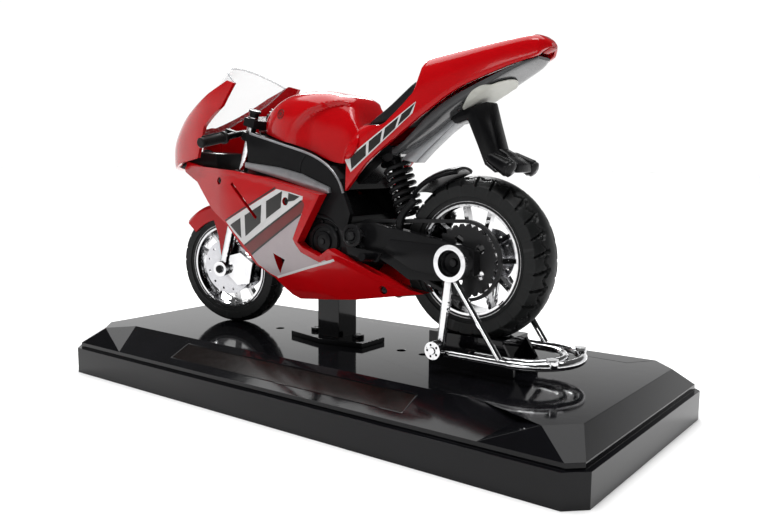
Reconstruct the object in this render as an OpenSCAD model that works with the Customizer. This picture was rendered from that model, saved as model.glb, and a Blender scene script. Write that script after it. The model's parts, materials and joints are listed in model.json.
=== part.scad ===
/* [Display base] */
// Length of the display base
base_l = 150; // [146:1:160]
// Width of the display base
base_w = 69; // [67:1:75]
// Height of the plateau above the table
base_h = 12.5; // [12:0.1:13]
// Height of the upright side wall
wall_h = 6.8; // [6:0.1:7.2]
// Height at which the bevel starts
foot_z = 8.1; // [7.8:0.1:8.4]

/* [Wheels] */
// Outer radius of the front tyre
front_r = 16.2; // [15.8:0.1:16.2]
// Width of the front tyre
front_w = 7; // [6:0.2:7]
// Outer radius of the front rim lip
front_rim_r = 12.9; // [12.4:0.1:13.2]
// Outer radius of the rear tyre
rear_r = 18.4; // [18:0.1:18.4]
// Width of the rear tyre
rear_w = 10; // [9:0.2:10]
// Outer radius of the rear rim lip
rear_rim_r = 13.9; // [13.4:0.1:14.2]
// Spokes in each rim, counted in pairs
spoke_pairs = 5; // [5:1:6]

/* [Steering] */
// Angle that the front wheel is turned to the left at rest
steer = 12; // [0:1:12]
// Angle of the steering axis from upright
rake = 17; // [16:0.5:18]
// Distance from the steering axis forward to the fork legs
fork_offset = 2.5; // [2.4:0.1:2.6]
// Half the distance between the fork legs
fork_half = 5.2; // [5.2:0.1:5.4]

/* [Paddock stand] */
// Distance from the middle plane to a stand bar
stand_half = 10.8; // [10.6:0.1:11.2]
// Radius of the stand bars
stand_bar_r = 0.85; // [0.7:0.05:0.9]

/* [Hidden] */
$fn = 48;

// Running clearance between a shaft and its bore, on the radius
run_gap = 0.05;
// Amount by which a cutting shape passes the face that it cuts
over = 1;

// Paint and material colours
red = [0.85, 0.05, 0.05];
black = [0.06, 0.06, 0.07];
dark_grey = [0.2, 0.2, 0.21];
silver = [0.7, 0.71, 0.72];
chrome = [0.85, 0.87, 0.9];
tyre_grey = [0.13, 0.13, 0.13];
clear = [0.8, 0.9, 1, 0.45];
pale = [0.85, 0.85, 0.8];

// Axle centres: the front one is where the wheel stands when it points straight ahead
front_axle_x = 45;
front_axle_z = base_h + front_r;
rear_axle_x = -34;
rear_axle_z = 36.8;
// Swingarm pivot
pivot_x = -7;
pivot_z = 41;
axle_r = 1;
pivot_r = 1.2;
stem_r = 1.3;

// Base: the wall, the ledge, the bevel foot and the plateau
wall_cut = 3.7;
ledge_inset = 1.15;
foot_cut = 2.7;
top_half_l = 70.5;
top_half_w = 29.8;
top_cut = 5.6;
recess_half_l = 60.5;
recess_depth = 6.5;
foot_half_l = 54;
base_wall = 2;
cavity_h = 6.4;
plate_t = 1.6;
boss_x = 66;
boss_y = 27;
spare_holes_x = [28, -13, -19.5];
spare_hole_r = 1.15;
post_x = 7.5;
post_size = 7;
post_top = 26.8;
slot_x = [7.6, -6.4];
flange_t = 1.3;
screw_r = 0.75;
screw_head_r = 1.5;

// ---------------------------------------------------------------- helpers

// Rectangle centred on the origin with its four corners cut at 45 degrees
module octagon(l, w, c) {
    x = l / 2;
    y = w / 2;
    polygon([[x, y - c], [x - c, y], [c - x, y], [-x, y - c], [-x, c - y], [c - x, -y], [x - c, -y], [x, c - y]]);
}

// Side outline given as [x, z] points, made into a plate between y0 and y1
module side_plate(points, y0, y1) {
    translate([0, y1, 0]) rotate([90, 0, 0]) linear_extrude(y1 - y0) polygon(points);
}

// Rod between two points
module rod(a, b, r) {
    d = b - a;
    len = norm(d);
    translate(a)
        rotate([0, acos(d[2] / len), atan2(d[1], d[0])])
            cylinder(r = r, h = len);
}

// Cylinder along Y, centred at x, z and reaching from y0 to y1
module y_cyl(x, z, r, y0, y1) {
    translate([x, y1, z]) rotate([90, 0, 0]) cylinder(r = r, h = y1 - y0);
}

// Oval ring of n points in the plane at x: half width w, from zb up to zt, squareness e below 1
function ring(x, w, zb, zt, e, n = 28) = [
    for (i = [0 : n - 1])
        let (a = 360 * i / n, c = cos(a), s = sin(a))
            [x, w * sign(c) * pow(abs(c), e), (zt + zb) / 2 + (zt - zb) / 2 * sign(s) * pow(abs(s), e)]
];

// Closed solid through a row of rings that all have the same number of points, from front to back
module loft(rings) {
    n = len(rings[0]);
    m = len(rings);
    sides = [for (k = [0 : m - 2], i = [0 : n - 1])
        let (j = (i + 1) % n) each [[k * n + i, k * n + j, (k + 1) * n + j], [k * n + i, (k + 1) * n + j, (k + 1) * n + i]]];
    polyhedron(
        points = [for (r = rings) each r],
        faces = concat([[for (i = [0 : n - 1]) n - 1 - i]], sides, [[for (i = [0 : n - 1]) (m - 1) * n + i]]));
}

// Closed slab between two grids of points of the same size: rows run backwards, points from right to left
module slab(outer, inner) {
    m = len(outer);
    n = len(outer[0]);
    o = function(k, i) k * n + i;
    p = function(k, i) m * n + k * n + i;
    top = [for (k = [0 : m - 2], i = [0 : n - 2])
        each [[o(k, i), o(k + 1, i + 1), o(k, i + 1)], [o(k, i), o(k + 1, i), o(k + 1, i + 1)]]];
    bottom = [for (k = [0 : m - 2], i = [0 : n - 2])
        each [[p(k, i), p(k, i + 1), p(k + 1, i + 1)], [p(k, i), p(k + 1, i + 1), p(k + 1, i)]]];
    ends = [for (i = [0 : n - 2])
        each [[o(0, i), p(0, i + 1), p(0, i)], [o(0, i), o(0, i + 1), p(0, i + 1)],
              [o(m - 1, i), p(m - 1, i), p(m - 1, i + 1)], [o(m - 1, i), p(m - 1, i + 1), o(m - 1, i + 1)]]];
    flanks = [for (k = [0 : m - 2])
        each [[o(k, 0), p(k, 0), p(k + 1, 0)], [o(k, 0), p(k + 1, 0), o(k + 1, 0)],
              [o(k, n - 1), p(k + 1, n - 1), p(k, n - 1)], [o(k, n - 1), o(k + 1, n - 1), p(k + 1, n - 1)]]];
    polyhedron(points = concat([for (r = outer) each r], [for (r = inner) each r]),
               faces = concat(top, bottom, ends, flanks));
}

// Places the front end, drawn with the axle at the origin and Z along the fork, without steering it
module fork_frame() {
    translate([front_axle_x, 0, front_axle_z]) rotate([0, -rake, 0]) children();
}

// Places the front end and turns it about the steering axis by the angle that it stands at
module steered() {
    fork_frame() translate([-fork_offset, 0, 0]) rotate([0, 0, steer]) translate([fork_offset, 0, 0]) children();
}

// ---------------------------------------------------------------- display base

// Bevelled top: a cut rectangle at the foot, a smaller one on top, and a recessed stretch on each long side
module base_top() {
    fx = base_l / 2 - ledge_inset;
    fy = base_w / 2 - ledge_inset;
    c = foot_cut;
    x = top_half_l;
    y = top_half_w;
    t = top_cut;
    f = [[fx, fy - c], [fx - c, fy], [foot_half_l, fy], [-foot_half_l, fy], [c - fx, fy], [-fx, fy - c]];
    p = [[x, y - t], [x - t, y], [recess_half_l, y - recess_depth], [-recess_half_l, y - recess_depth],
         [t - x, y], [-x, y - t]];
    foot = [for (q = concat(f, -f)) [q[0], q[1], foot_z]];
    top = [for (q = concat(p, -p)) [q[0], q[1], base_h]];
    // The first half of a long side splits its four-cornered face one way, the second half the other way
    sides = [for (i = [0 : 11])
        let (j = (i + 1) % 12, early = i % 6 < 3)
            each (early ? [[i + 12, j, i], [i + 12, j + 12, j]] : [[i, i + 12, j + 12], [i, j + 12, j]])];
    polyhedron(points = concat(foot, top),
               faces = concat([[for (i = [0 : 11]) i]], [[for (i = [11 : -1 : 0]) i + 12]], sides));
}

// Frame of the shallow bevel on the +Y side: X along the base, Z out of the bevel
bevel_rise = base_h - foot_z;
bevel_run = base_w / 2 - ledge_inset - (top_half_w - recess_depth);
bevel_angle = atan(bevel_rise / bevel_run);
module on_bevel() {
    translate([0, top_half_w - recess_depth + bevel_run / 2, foot_z + bevel_rise / 2])
        rotate([-bevel_angle, 0, 0]) children();
}

nameplate_l = 71;
nameplate_w = 6.2;
nameplate_t = 0.5;

module display_base() {
    color(black) difference() {
        union() {
            linear_extrude(wall_h) octagon(base_l, base_w, wall_cut);
            linear_extrude(foot_z) octagon(base_l - 2 * ledge_inset, base_w - 2 * ledge_inset, foot_cut);
            base_top();
        }
        difference() {
            translate([0, 0, -over]) linear_extrude(cavity_h + over)
                octagon(base_l - 2 * base_wall, base_w - 2 * base_wall, wall_cut - 0.5);
            for (x = [-boss_x, boss_x], y = [-boss_y, boss_y])
                translate([x, y, plate_t]) cylinder(r = 2.2, h = cavity_h);
            for (x = slot_x)
                translate([x + post_x - 0.6, 0, plate_t + 1]) cylinder(r = 2, h = cavity_h);
        }
        for (x = [-boss_x, boss_x], y = [-boss_y, boss_y])
            translate([x, y, -over]) cylinder(r = screw_r + run_gap, h = 6 + over);
        for (x = spare_holes_x)
            translate([x, 0, 0]) cylinder(r = spare_hole_r, h = base_h + over);
        for (x = slot_x)
            translate([x + post_x - 0.6, 0, 5]) cylinder(r = screw_r + run_gap, h = base_h);
        on_bevel() cube([nameplate_l, nameplate_w, 2 * nameplate_t], center = true);
    }
}

module base_plate() {
    inset = 2 * base_wall + 0.2;
    color(black) difference() {
        linear_extrude(plate_t) octagon(base_l - inset, base_w - inset, wall_cut - 0.5);
        for (x = [-boss_x, boss_x], y = [-boss_y, boss_y]) translate([x, y, -over]) {
            cylinder(r = screw_r + run_gap, h = plate_t + 2 * over);
            cylinder(r = screw_head_r + run_gap, h = 0.9 + over);
        }
    }
}

// Pan-head screw with its head at the origin and its shank along +Z
module pan_screw(head_h, shank_l) {
    difference() {
        union() {
            cylinder(r = screw_head_r, h = head_h);
            cylinder(r = screw_r, h = head_h + shank_l);
        }
        for (a = [0, 90]) rotate([0, 0, a]) cube([1.8, 0.4, 0.7], center = true);
    }
}

module base_screws() {
    color(silver) for (x = [-boss_x, boss_x], y = [-boss_y, boss_y])
        translate([x, y, 0.1]) pan_screw(0.8, 4);
}

module nameplate() {
    color([0.16, 0.12, 0.11]) on_bevel()
        translate([0, 0, -nameplate_t / 2]) cube([nameplate_l, nameplate_w, nameplate_t], center = true);
}

module flange_outline() {
    polygon([[19.4, 4.6], [19.4, -4.6], [7.5, -7], [-4.4, -4.6], [-4.4, 4.6], [7.5, 7]]);
}

// Square post with a six-sided flange, which has one screw hole on each side of the post
module support_post() {
    color(black) difference() {
        union() {
            translate([0, 0, base_h]) linear_extrude(flange_t) flange_outline();
            translate([post_x - post_size / 2, -post_size / 2, base_h]) cube([post_size, post_size, post_top - base_h]);
        }
        for (x = slot_x) translate([x + post_x - 0.6, 0, base_h - over]) {
            cylinder(r = screw_r + 0.15, h = flange_t + 2 * over);
        }
    }
}

module post_screws() {
    color(black) for (x = slot_x)
        translate([x + post_x - 0.6, 0, base_h + flange_t + 0.9]) mirror([0, 0, 1]) pan_screw(0.9, 7);
}

// Cradle under the rear tyre
block_half_w = 5.9;
module wheel_block() {
    color(black) difference() {
        union() {
            side_plate([[-43.8, base_h], [-43.8, 20.2], [-25, 20.2], [-25, base_h]], -block_half_w, block_half_w);
            for (y = [-block_half_w, block_half_w - 1])
                side_plate([[-46.6, base_h], [-46.6, 15], [-43.8, 19.4], [-43.8, base_h]], y, y + 1);
        }
        rear_wheel_space(0.12);
    }
}

// Space that the rear tyre turns in, larger than the tyre all round by gap
module rear_wheel_space(gap) {
    translate([rear_axle_x, 0, rear_axle_z]) rotate([90, 0, 0])
        rotate_extrude($fn = 96) tyre_profile(rear_r + gap, rear_w + 2 * gap, 0);
}

// ---------------------------------------------------------------- wheels

// Half section of a tyre in the plane of X outward and Y across, down to radius inner
module tyre_profile(r, w, inner) {
    shoulder = r - 0.36 * w;
    crown_r = 0.72 * w;
    intersection() {
        union() {
            translate([r - crown_r, 0]) circle(r = crown_r, $fn = 96);
            translate([inner, -w / 2]) square([shoulder - inner, w]);
        }
        translate([inner, -w / 2]) square([r - inner, w]);
    }
}

module tyre(r, w, rim_r) {
    color(tyre_grey) rotate([90, 0, 0]) rotate_extrude($fn = 96) tyre_profile(r, w, rim_r - 0.9);
}

// Rim with a hub, a well, two lips and spokes in V pairs, with its axis along Y
module rim(rim_r, w, hub_r, hub_w, bore) {
    bed = rim_r - 0.95;
    color(chrome) rotate([90, 0, 0]) difference() {
        union() {
            rotate_extrude($fn = 96) polygon([
                [bed - 1.1, -w / 2 + 0.4], [bed, -w / 2 + 0.8], [bed, w / 2 - 0.8], [bed - 1.1, w / 2 - 0.4],
                [bed - 1.3, w / 2 - 1.4], [bed - 1.3, 1.4 - w / 2]]);
            for (s = [-1, 1]) translate([0, 0, s * (w / 2 - 0.35)]) rotate_extrude($fn = 96)
                polygon([[bed - 1.1, -0.35], [bed - 0.02, -0.35], [bed - 0.02, 0.35], [bed - 1.1, 0.35]]);
            translate([0, 0, -hub_w / 2]) cylinder(r = hub_r, h = hub_w);
            for (i = [0 : spoke_pairs - 1], s = [-1, 1])
                rotate([0, 0, 360 * i / spoke_pairs + 90]) rotate([0, 0, s * 13])
                    translate([hub_r - 0.6, -0.5 + s * 0.7, -0.9]) cube([bed - hub_r - 0.2, 1, 1.8]);
        }
        cylinder(r = bore, h = 2 * w, center = true);
    }
}

module rear_place() {
    translate([rear_axle_x, 0, rear_axle_z]) children();
}

rear_hub_w = 10.3;
front_hub_w = 6;

module rear_rim() {
    rear_place() rim(rear_rim_r, rear_w - 1, 4.2, rear_hub_w, axle_r + run_gap);
}

module rear_tyre() {
    rear_place() tyre(rear_r, rear_w, rear_rim_r);
}

sprocket_teeth = 28;
sprocket_r = 7.4;
tooth_h = 0.7;
sprocket_t = 0.9;
module sprocket() {
    step = 360 / sprocket_teeth;
    teeth = [for (i = [0 : sprocket_teeth - 1], q = [[0, 0], [0.3, tooth_h], [0.5, tooth_h], [0.8, 0]])
        let (a = (i + q[0]) * step, r = sprocket_r + q[1]) [r * cos(a), r * sin(a)]];
    color(black) rear_place() difference() {
        side_plate(teeth, rear_hub_w / 2, rear_hub_w / 2 + sprocket_t);
        y_cyl(0, 0, axle_r + run_gap, 0, 20);
        for (a = [0 : 72 : 288]) rotate([0, a, 0]) y_cyl(4.8, 0, 1.1, 0, 20);
    }
}

module brake_disc(r, y0, y1, bore) {
    difference() {
        y_cyl(0, 0, r, y0, y1);
        y_cyl(0, 0, bore, y0 - over, y1 + over);
        for (a = [0 : 30 : 330]) rotate([0, a, 0]) y_cyl(r - 1.2, 0, 0.35, y0 - over, y1 + over);
    }
}

module rear_disc() {
    color(silver) rear_place() brake_disc(6.4, -rear_hub_w / 2 - 0.7, -rear_hub_w / 2, axle_r + run_gap);
}

module rear_axle() {
    color(silver) rear_place() {
        y_cyl(0, 0, axle_r, -9.6, 9.6);
        for (s = [-1, 1]) y_cyl(0, 0, 1.7, s > 0 ? 9 : -10.2, s > 0 ? 10.2 : -9);
    }
}

// ---------------------------------------------------------------- swingarm, chain and shock

arm_out = 8.9;
arm_in = 6.4;
module swingarm() {
    arm = [[-5.2, 43.6], [-10, 44], [-22, 42.4], [-33, 40.6], [-38, 39.4], [-38.2, 34.2], [-33, 32.4],
           [-21, 31.8], [-17, 34], [-9, 37.6], [-5.2, 38.4]];
    color(black) difference() {
        union() {
            for (s = [-1, 1]) side_plate(arm, s > 0 ? arm_in : -arm_out, s > 0 ? arm_out : -arm_in);
            y_cyl(pivot_x, pivot_z, 2.3, -arm_out, arm_out);
            side_plate([[-7, 43.2], [-7, 38.8], [-12.6, 38.8], [-12.6, 43.2]], -4.9, 4.9);
        }
        y_cyl(pivot_x, pivot_z, pivot_r + run_gap, -20, 20);
        y_cyl(rear_axle_x, rear_axle_z, axle_r, -20, 20);
    }
}

module pivot_bolt() {
    color(silver) {
        y_cyl(pivot_x, pivot_z, pivot_r, -11.2, 11.2);
        for (s = [-1, 1]) y_cyl(pivot_x, pivot_z, 2, s > 0 ? 10.7 : -11.9, s > 0 ? 11.9 : -10.7);
    }
}

// Chain as a flat loop from the rear sprocket round the tube of the pivot
chain_t = 0.8;
module chain_loop(grow, y0, y1) {
    hull() {
        y_cyl(rear_axle_x, rear_axle_z, sprocket_r + tooth_h + 0.15 + grow, y0, y1);
        y_cyl(pivot_x - 0.4, pivot_z, 2.8 + grow, y0, y1);
    }
}
module chain() {
    y0 = rear_hub_w / 2;
    color(dark_grey) difference() {
        chain_loop(chain_t, y0, y0 + sprocket_t);
        chain_loop(0, y0 - over, y0 + sprocket_t + over);
    }
}

// Mudguard that hugs the top front of the rear tyre
module hugger() {
    r0 = rear_r + 0.9;
    w = 7.2;
    color(black) {
        rear_place() rotate([90, 0, 0]) rotate([0, 0, 42]) rotate_extrude(angle = 38, $fn = 96)
            translate([r0, -w]) square([1.1, 2 * w]);
        difference() {
            for (s = [-1, 1])
                side_plate([[-16.4, 43.4], [-22, 42.7], [-24, 52], [-21, 53.6], [-18.4, 51.8]],
                           s > 0 ? arm_in : 0.1 - w, s > 0 ? w - 0.1 : -arm_in);
            rear_place() y_cyl(0, 0, r0 + 0.4, -8, 8);
        }
    }
}

shock_top = [-10, 0, 60];
shock_low = [-15.4, 0, 45.6];
module shock_body() {
    color(black) {
        rod(shock_top, shock_low, 1.5);
        y_cyl(shock_top[0], shock_top[2], 1.9, -2.4, 2.4);
        rod(shock_low + [0.5, 0, 1.4], shock_low + [0.1, 0, 0.4], 2.4);
    }
}

// Coil round the shock: a steel wire wound as a stack of rings
shock_turns = 7;
module shock_spring() {
    axis = shock_top - shock_low;
    color(dark_grey) translate(shock_low)
        rotate([0, acos(axis[2] / norm(axis)), atan2(axis[1], axis[0])])
            translate([0, 0, 2.2]) difference() {
                union() {
                    for (i = [0 : shock_turns - 1]) translate([0, 0, i * 1.5])
                        rotate_extrude() translate([2.9, 0]) circle(r = 0.62, $fn = 16);
                    cylinder(r = 2.7, h = 9);
                }
                cylinder(r = 1.55, h = 40, center = true);
            }
}

// ---------------------------------------------------------------- frame and engine

head_low = 29.5;
head_high = 39;
module head_tube() {
    translate([0, 0, head_low]) cylinder(r = 2.7, h = head_high - head_low);
}

spar = [[29.4, 65.2], [25, 64.6], [17, 62.6], [8, 60.2], [2, 57.5], [-1.6, 54.4], [-3.2, 51], [-5.4, 46],
        [-4.4, 42.6], [-9, 38.4], [-9, 35], [-3.5, 35], [2.5, 41], [7, 50], [25, 54.4], [28.4, 57]];
spar_in = 9.3;
spar_out = 10.6;
// Engine covers on the left and on the right: centre and radius
cover_left = [2.4, 39, 5.4];
cover_right = [4, 38, 6.2];
module main_frame() {
    color(black) difference() {
        union() {
            fork_frame() translate([-fork_offset, 0, 0]) head_tube();
            for (s = [-1, 1]) side_plate(spar, s > 0 ? spar_in : -spar_out, s > 0 ? spar_out : -spar_in);
            // Gusset across the front and the web that joins it to the head tube
            side_plate([[28.4, 64.4], [25, 64], [21, 60], [21, 57], [28.4, 57]], -spar_out, spar_out);
            side_plate([[31, 63], [31, 58], [27, 58], [27, 63]], -2, 2);
            // Cross member behind the engine and the lug for the top of the shock
            side_plate([[1, 57], [1, 53.6], [-2.4, 51.4], [-2.4, 54]], -spar_out, spar_out);
            side_plate([[-0.4, 56], [-2.6, 52.6], [-12, 60.2], [-12, 61.8], [-9, 61.8]], -3.4, 3.4);
        }
        fork_frame() translate([-fork_offset, 0, head_low - 20]) cylinder(r = stem_r + run_gap, h = 60);
        y_cyl(pivot_x, pivot_z, pivot_r, -20, 20);
        y_cyl(shock_top[0], shock_top[2], 2, -2.5, 2.5);
        rod(shock_top, shock_low, 3.7);
        y_cyl(cover_left[0], cover_left[1], cover_left[2] + run_gap, 0, 20);
        y_cyl(cover_right[0], cover_right[1], cover_right[2] + run_gap, -20, 0);
    }
}

// Grey strip that shows between a spar and the side fairing
strip = [[22, 54.2], [8, 50.6], [-1.2, 47.2], [0.4, 45.4], [3, 46.2], [24, 50.8]];
module frame_strip_left() {
    color(silver) side_plate(strip, 10.7, 11.5);
}
module frame_strip_right() {
    color(silver) mirror([0, 1, 0]) side_plate(strip, 10.7, 11.5);
}

module engine_block() {
    color(dark_grey) difference() {
        union() {
            side_plate([[18.4, 32], [18.4, 39], [11, 42], [6, 49.6], [-2.6, 45], [-3, 43.6], [-3, 33], [-2.4, 32]],
                       -9.2, 9.2);
            side_plate([[18.4, 32.5], [18, 30.5], [14, 27.6], [2, 27.6], [-2.4, 32.5]], -7.4, 7.4);
            // Pad that stands on the post
            side_plate([[2.6, 28], [12.4, 28], [12.4, 25.2], [2.6, 25.2]], -4.3, 4.3);
            // Cylinder bank with its cooling fins
            side_plate([[16, 40], [22, 53], [11, 56], [5, 48]], -7, 7);
            for (i = [0 : 3]) translate([1.4 * i, 0, 3 * i])
                side_plate([[17.4, 41.6], [17.6, 42.6], [4.6, 46.6], [4.2, 45.6]], -8.2, 8.2);
        }
        translate([post_x - post_size / 2, -post_size / 2, post_top - 10]) cube([post_size, post_size, 10]);
    }
}

// Round engine cover on the side at y: a lid, a raised disc and screws round the edge
module engine_cover(c) {
    x = c[0];
    z = c[1];
    r = c[2];
    y_cyl(x, z, r, 9.2, 10.4);
    y_cyl(x, z, r - 1.2, 10.3, 11.1);
    for (a = [20 : 60 : 320]) y_cyl(x + (r - 0.6) * cos(a), z + (r - 0.6) * sin(a), 0.45, 10.3, 10.8);
}
module engine_cover_left() {
    color(dark_grey) {
        engine_cover(cover_left);
        y_cyl(cover_left[0], cover_left[1], 2.4, 11, 11.5);
    }
}
module engine_cover_right() {
    color(dark_grey) mirror([0, 1, 0]) engine_cover(cover_right);
}

module radiator() {
    color(black) difference() {
        side_plate([[23, 33], [25.4, 33.6], [28, 52.4], [25.4, 52.8]], -9, 9);
        for (i = [0 : 6]) translate([24.4 + 0.34 * i, -8, 35.2 + 2.4 * i]) rotate([0, 8, 0]) cube([1.4, 16, 1]);
    }
}

// Pipes in front of the engine that gather into one on the right of the post and end behind the belly
pipe_r = 1.1;
pipe_top = [19.6, 5.4, 43];
pipe_bend = [21.5, 5.4, 35];
pipe_low = [18.8, -5.6, 25.6];
pipe_back = [-8, -5.6, 25.8];
silencer_end = [-24, -6.9, 28.4];
module exhaust() {
    color(silver) {
        for (s = [-1, 1]) {
            flip = [1, s, 1];
            a = [for (i = [0 : 2]) pipe_top[i] * flip[i]];
            b = [for (i = [0 : 2]) pipe_bend[i] * flip[i]];
            rod(a, b, pipe_r);
            rod(b, pipe_low, pipe_r - 0.05 * (s + 1));
            translate(b) sphere(r = pipe_r + 0.3);
        }
        translate(pipe_low) sphere(r = pipe_r + 0.4);
        rod(pipe_low, pipe_back, pipe_r);
        translate(pipe_back) sphere(r = pipe_r + 0.5);
        rod(pipe_back, silencer_end, 1.4);
    }
}

module footpeg(side) {
    y = side * 11.7;
    side_plate([[-5, 38.6], [-5.6, 36.6], [-14, 35.4], [-15, 37.4]], side > 0 ? 10.7 : -11.7, side > 0 ? 11.7 : -10.7);
    rod([-13, y, 36.4], [-13.6, side * 16.4, 37], 0.9);
}
module footpeg_left() {
    color(black) footpeg(1);
}
module footpeg_right() {
    color(black) footpeg(-1);
}

// ---------------------------------------------------------------- tank, seat and tail

// Tank as rings of [x, half width, bottom, top, squareness] from front to back
tank_rings = [[27.6, 3.6, 64, 66.8, 0.8], [26.2, 6.4, 62.6, 69.6, 0.75], [21, 9.4, 60.5, 74, 0.7],
              [14, 10.4, 59, 75.2, 0.68], [6, 10.4, 57.4, 75.2, 0.68], [0, 9.2, 57, 72.8, 0.7],
              [-4, 7, 58, 69.6, 0.75], [-6.5, 4.5, 60.4, 67.2, 0.8]];
module fuel_tank() {
    color(red) difference() {
        loft([for (q = tank_rings) ring(q[0], q[1], q[2], q[3], q[4])]);
        // Flat underside along the spars, and the seam with the tail
        side_plate([[40, 65.3], [29.4, 65.3], [25, 64.7], [17, 62.7], [8, 60.3], [2, 57.6], [-0.6, 57.6],
                    [-3.4, 66.4], [-6, 72], [-12, 72], [-12, 50], [40, 50]], -20, 20);
    }
}

// Tail as slanted arches: lower edge [x, z], crown [x, z], half width, from the tank to the tip
tail_arches = [[[-3.4, 51.8], [-3.8, 66.2], 10.4], [[-9.5, 58], [-9, 68.8], 9.4], [[-16.5, 63.2], [-16, 73], 8.6],
               [[-19, 65.2], [-18.8, 76], 8.4], [[-21, 66.6], [-19.6, 79.8], 8.3], [[-24, 68.8], [-22.2, 81.2], 8],
               [[-31.5, 73.5], [-31, 82.4], 7.2], [[-42, 77.2], [-41, 83.7], 5.8], [[-48.4, 78.8], [-47.2, 84.4], 4.2],
               [[-49.4, 80.4], [-49.5, 83.4], 3.2]];
tail_square = 0.55;
tail_t = 1.1;

// Points of one arch from right to left, with its width and height less by t
function arch(q, t, n) = [
    for (i = [0 : n])
        let (a = 180 * (1 - i / n), c = cos(a), h = pow(abs(sin(a)), tail_square), low = q[0], top = q[1] - [0, t])
            [low[0] + (top[0] - low[0]) * h, sign(c) * pow(abs(c), tail_square) * (q[2] - t),
             low[1] + (top[1] - low[1]) * h]
];
module tail_cowl() {
    n = 20;
    color(red) slab([for (q = tail_arches) arch(q, 0, n)], [for (q = tail_arches) arch(q, tail_t, n)]);
}

// Seat pad on top of the tail: crown height above the tail at each of its rows
seat_rows = [[-4.4, 66.7, 4.6, 0.5], [-7, 67.9, 5.4, 1.2], [-11.5, 70.6, 5.6, 1.7], [-15.5, 73, 5.4, 1.8],
             [-18, 75.2, 5, 1.3]];
module seat() {
    n = 12;
    side = [for (i = [0 : n]) -1 + 2 * i / n];
    color(black) slab(
        [for (q = seat_rows) [for (a = side) [q[0], a * q[2], q[1] + q[3] * (1 - pow(abs(a), 3)) + 0.1]]],
        [for (q = seat_rows) [for (a = side) [q[0], a * q[2], q[1] + 0.1 - 0.4 * a * a]]]);
}

// Tray that closes the underside of the tail: rings of the part inside it and of the flat floor below its edge
tray_rings = [[-12.4, 4.6, 58, 62.6, 0.9], [-17, 5.6, 60.8, 66.8, 0.9], [-24, 5.2, 66, 71.4, 0.9],
              [-31, 4.4, 71, 76, 0.9], [-39, 3.2, 75, 78.4, 0.9], [-46.4, 1.6, 78, 80.2, 0.9]];
floor_rings = [[-17.6, 6.2, 60.9, 63.6, 0.6], [-24, 7.1, 65.2, 68.5, 0.6], [-30, 6.8, 69.5, 72.2, 0.6],
               [-36, 6.2, 72.7, 74.8, 0.6], [-42, 5.2, 75.9, 76.9, 0.6], [-47, 3.6, 77.9, 78.3, 0.6]];
module under_tray() {
    color(dark_grey) difference() {
        union() {
            loft([for (q = tray_rings) ring(q[0], q[1], q[2], q[3], q[4])]);
            loft([for (q = floor_rings) ring(q[0], q[1], q[2], q[3], q[4])]);
        }
        rod(shock_top, shock_low, 3.75);
        y_cyl(shock_top[0], shock_top[2], 2.6, -3.5, 3.5);
    }
}

module tail_lamp() {
    color([0.6, 0, 0]) side_plate([[-49.8, 80.7], [-48.7, 80.4], [-48.7, 82.1], [-49.8, 82.3]], -1.3, 1.3);
}

// Blank round label on the flat floor of the tray
floor_slope = atan2(3.2, 6);
module round_label() {
    color(pale) translate([-36, 0.3, 72.9]) rotate([0, floor_slope, 0]) translate([0, 0, -0.5])
        cylinder(r = 5.4, h = 0.4);
}

module plate_bracket() {
    color(black) {
        side_plate([[-29.6, 70.4], [-35.2, 73], [-40.2, 60.4], [-44.6, 58.4], [-44.6, 56], [-38, 55.6], [-35.4, 57.4]],
                   -2.6, 2.6);
        for (s = [-1, 1]) {
            rod([-41, s * 2, 57.6], [-42, s * 6.4, 57.8], 0.9);
            rod([-40, s * 7.4, 58.6], [-44.6, s * 7.4, 56.6], 1.9);
        }
    }
}

// ---------------------------------------------------------------- nose, screen and fairings

module nose_shape(t) {
    loft([ring(66 - t, 2.6 - 0.5 * t, 54.4 + t, 60.4 - t, 0.8), ring(63.6 - t, 6 - t, 52 + t, 65 - t, 0.75),
          ring(58, 9 - t, 49 + t, 70.6 - t, 0.72), ring(50, 11.4 - t, 45 + t, 78 - t, 0.7),
          ring(42, 12.8 - t, 40 + t, 84 - t, 0.7), ring(30, 13.6 - t, 34 + t, 90 - t, 0.7)]);
}

// Line that the screen meets the cowl along, and the rear edge of the cowl, as one side outline
cowl_side = [[67, 54.6], [66.6, 61], [60.6, 66.4], [52, 70.6], [42.4, 75.4], [34.6, 78.4], [31.6, 77.6], [35.6, 72],
             [39.6, 69.4], [43, 66.8], [44.4, 63], [46.5, 58.6], [55, 57.4]];
lamp_side = [[67, 56], [67, 61], [60.2, 62.4], [59.4, 58.6]];
module nose_cowl() {
    color(red) difference() {
        intersection() {
            nose_shape(0);
            side_plate(cowl_side, -14, 14);
        }
        nose_shape(1);
        for (s = [-1, 1]) side_plate(lamp_side, s > 0 ? 1.4 : -6.6, s > 0 ? 6.6 : -1.4);
    }
}

module headlamps() {
    color(clear) for (s = [-1, 1]) difference() {
        intersection() {
            nose_shape(0);
            side_plate(lamp_side, s > 0 ? 1.4 : -6.6, s > 0 ? 6.6 : -1.4);
        }
        nose_shape(1);
    }
}

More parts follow.
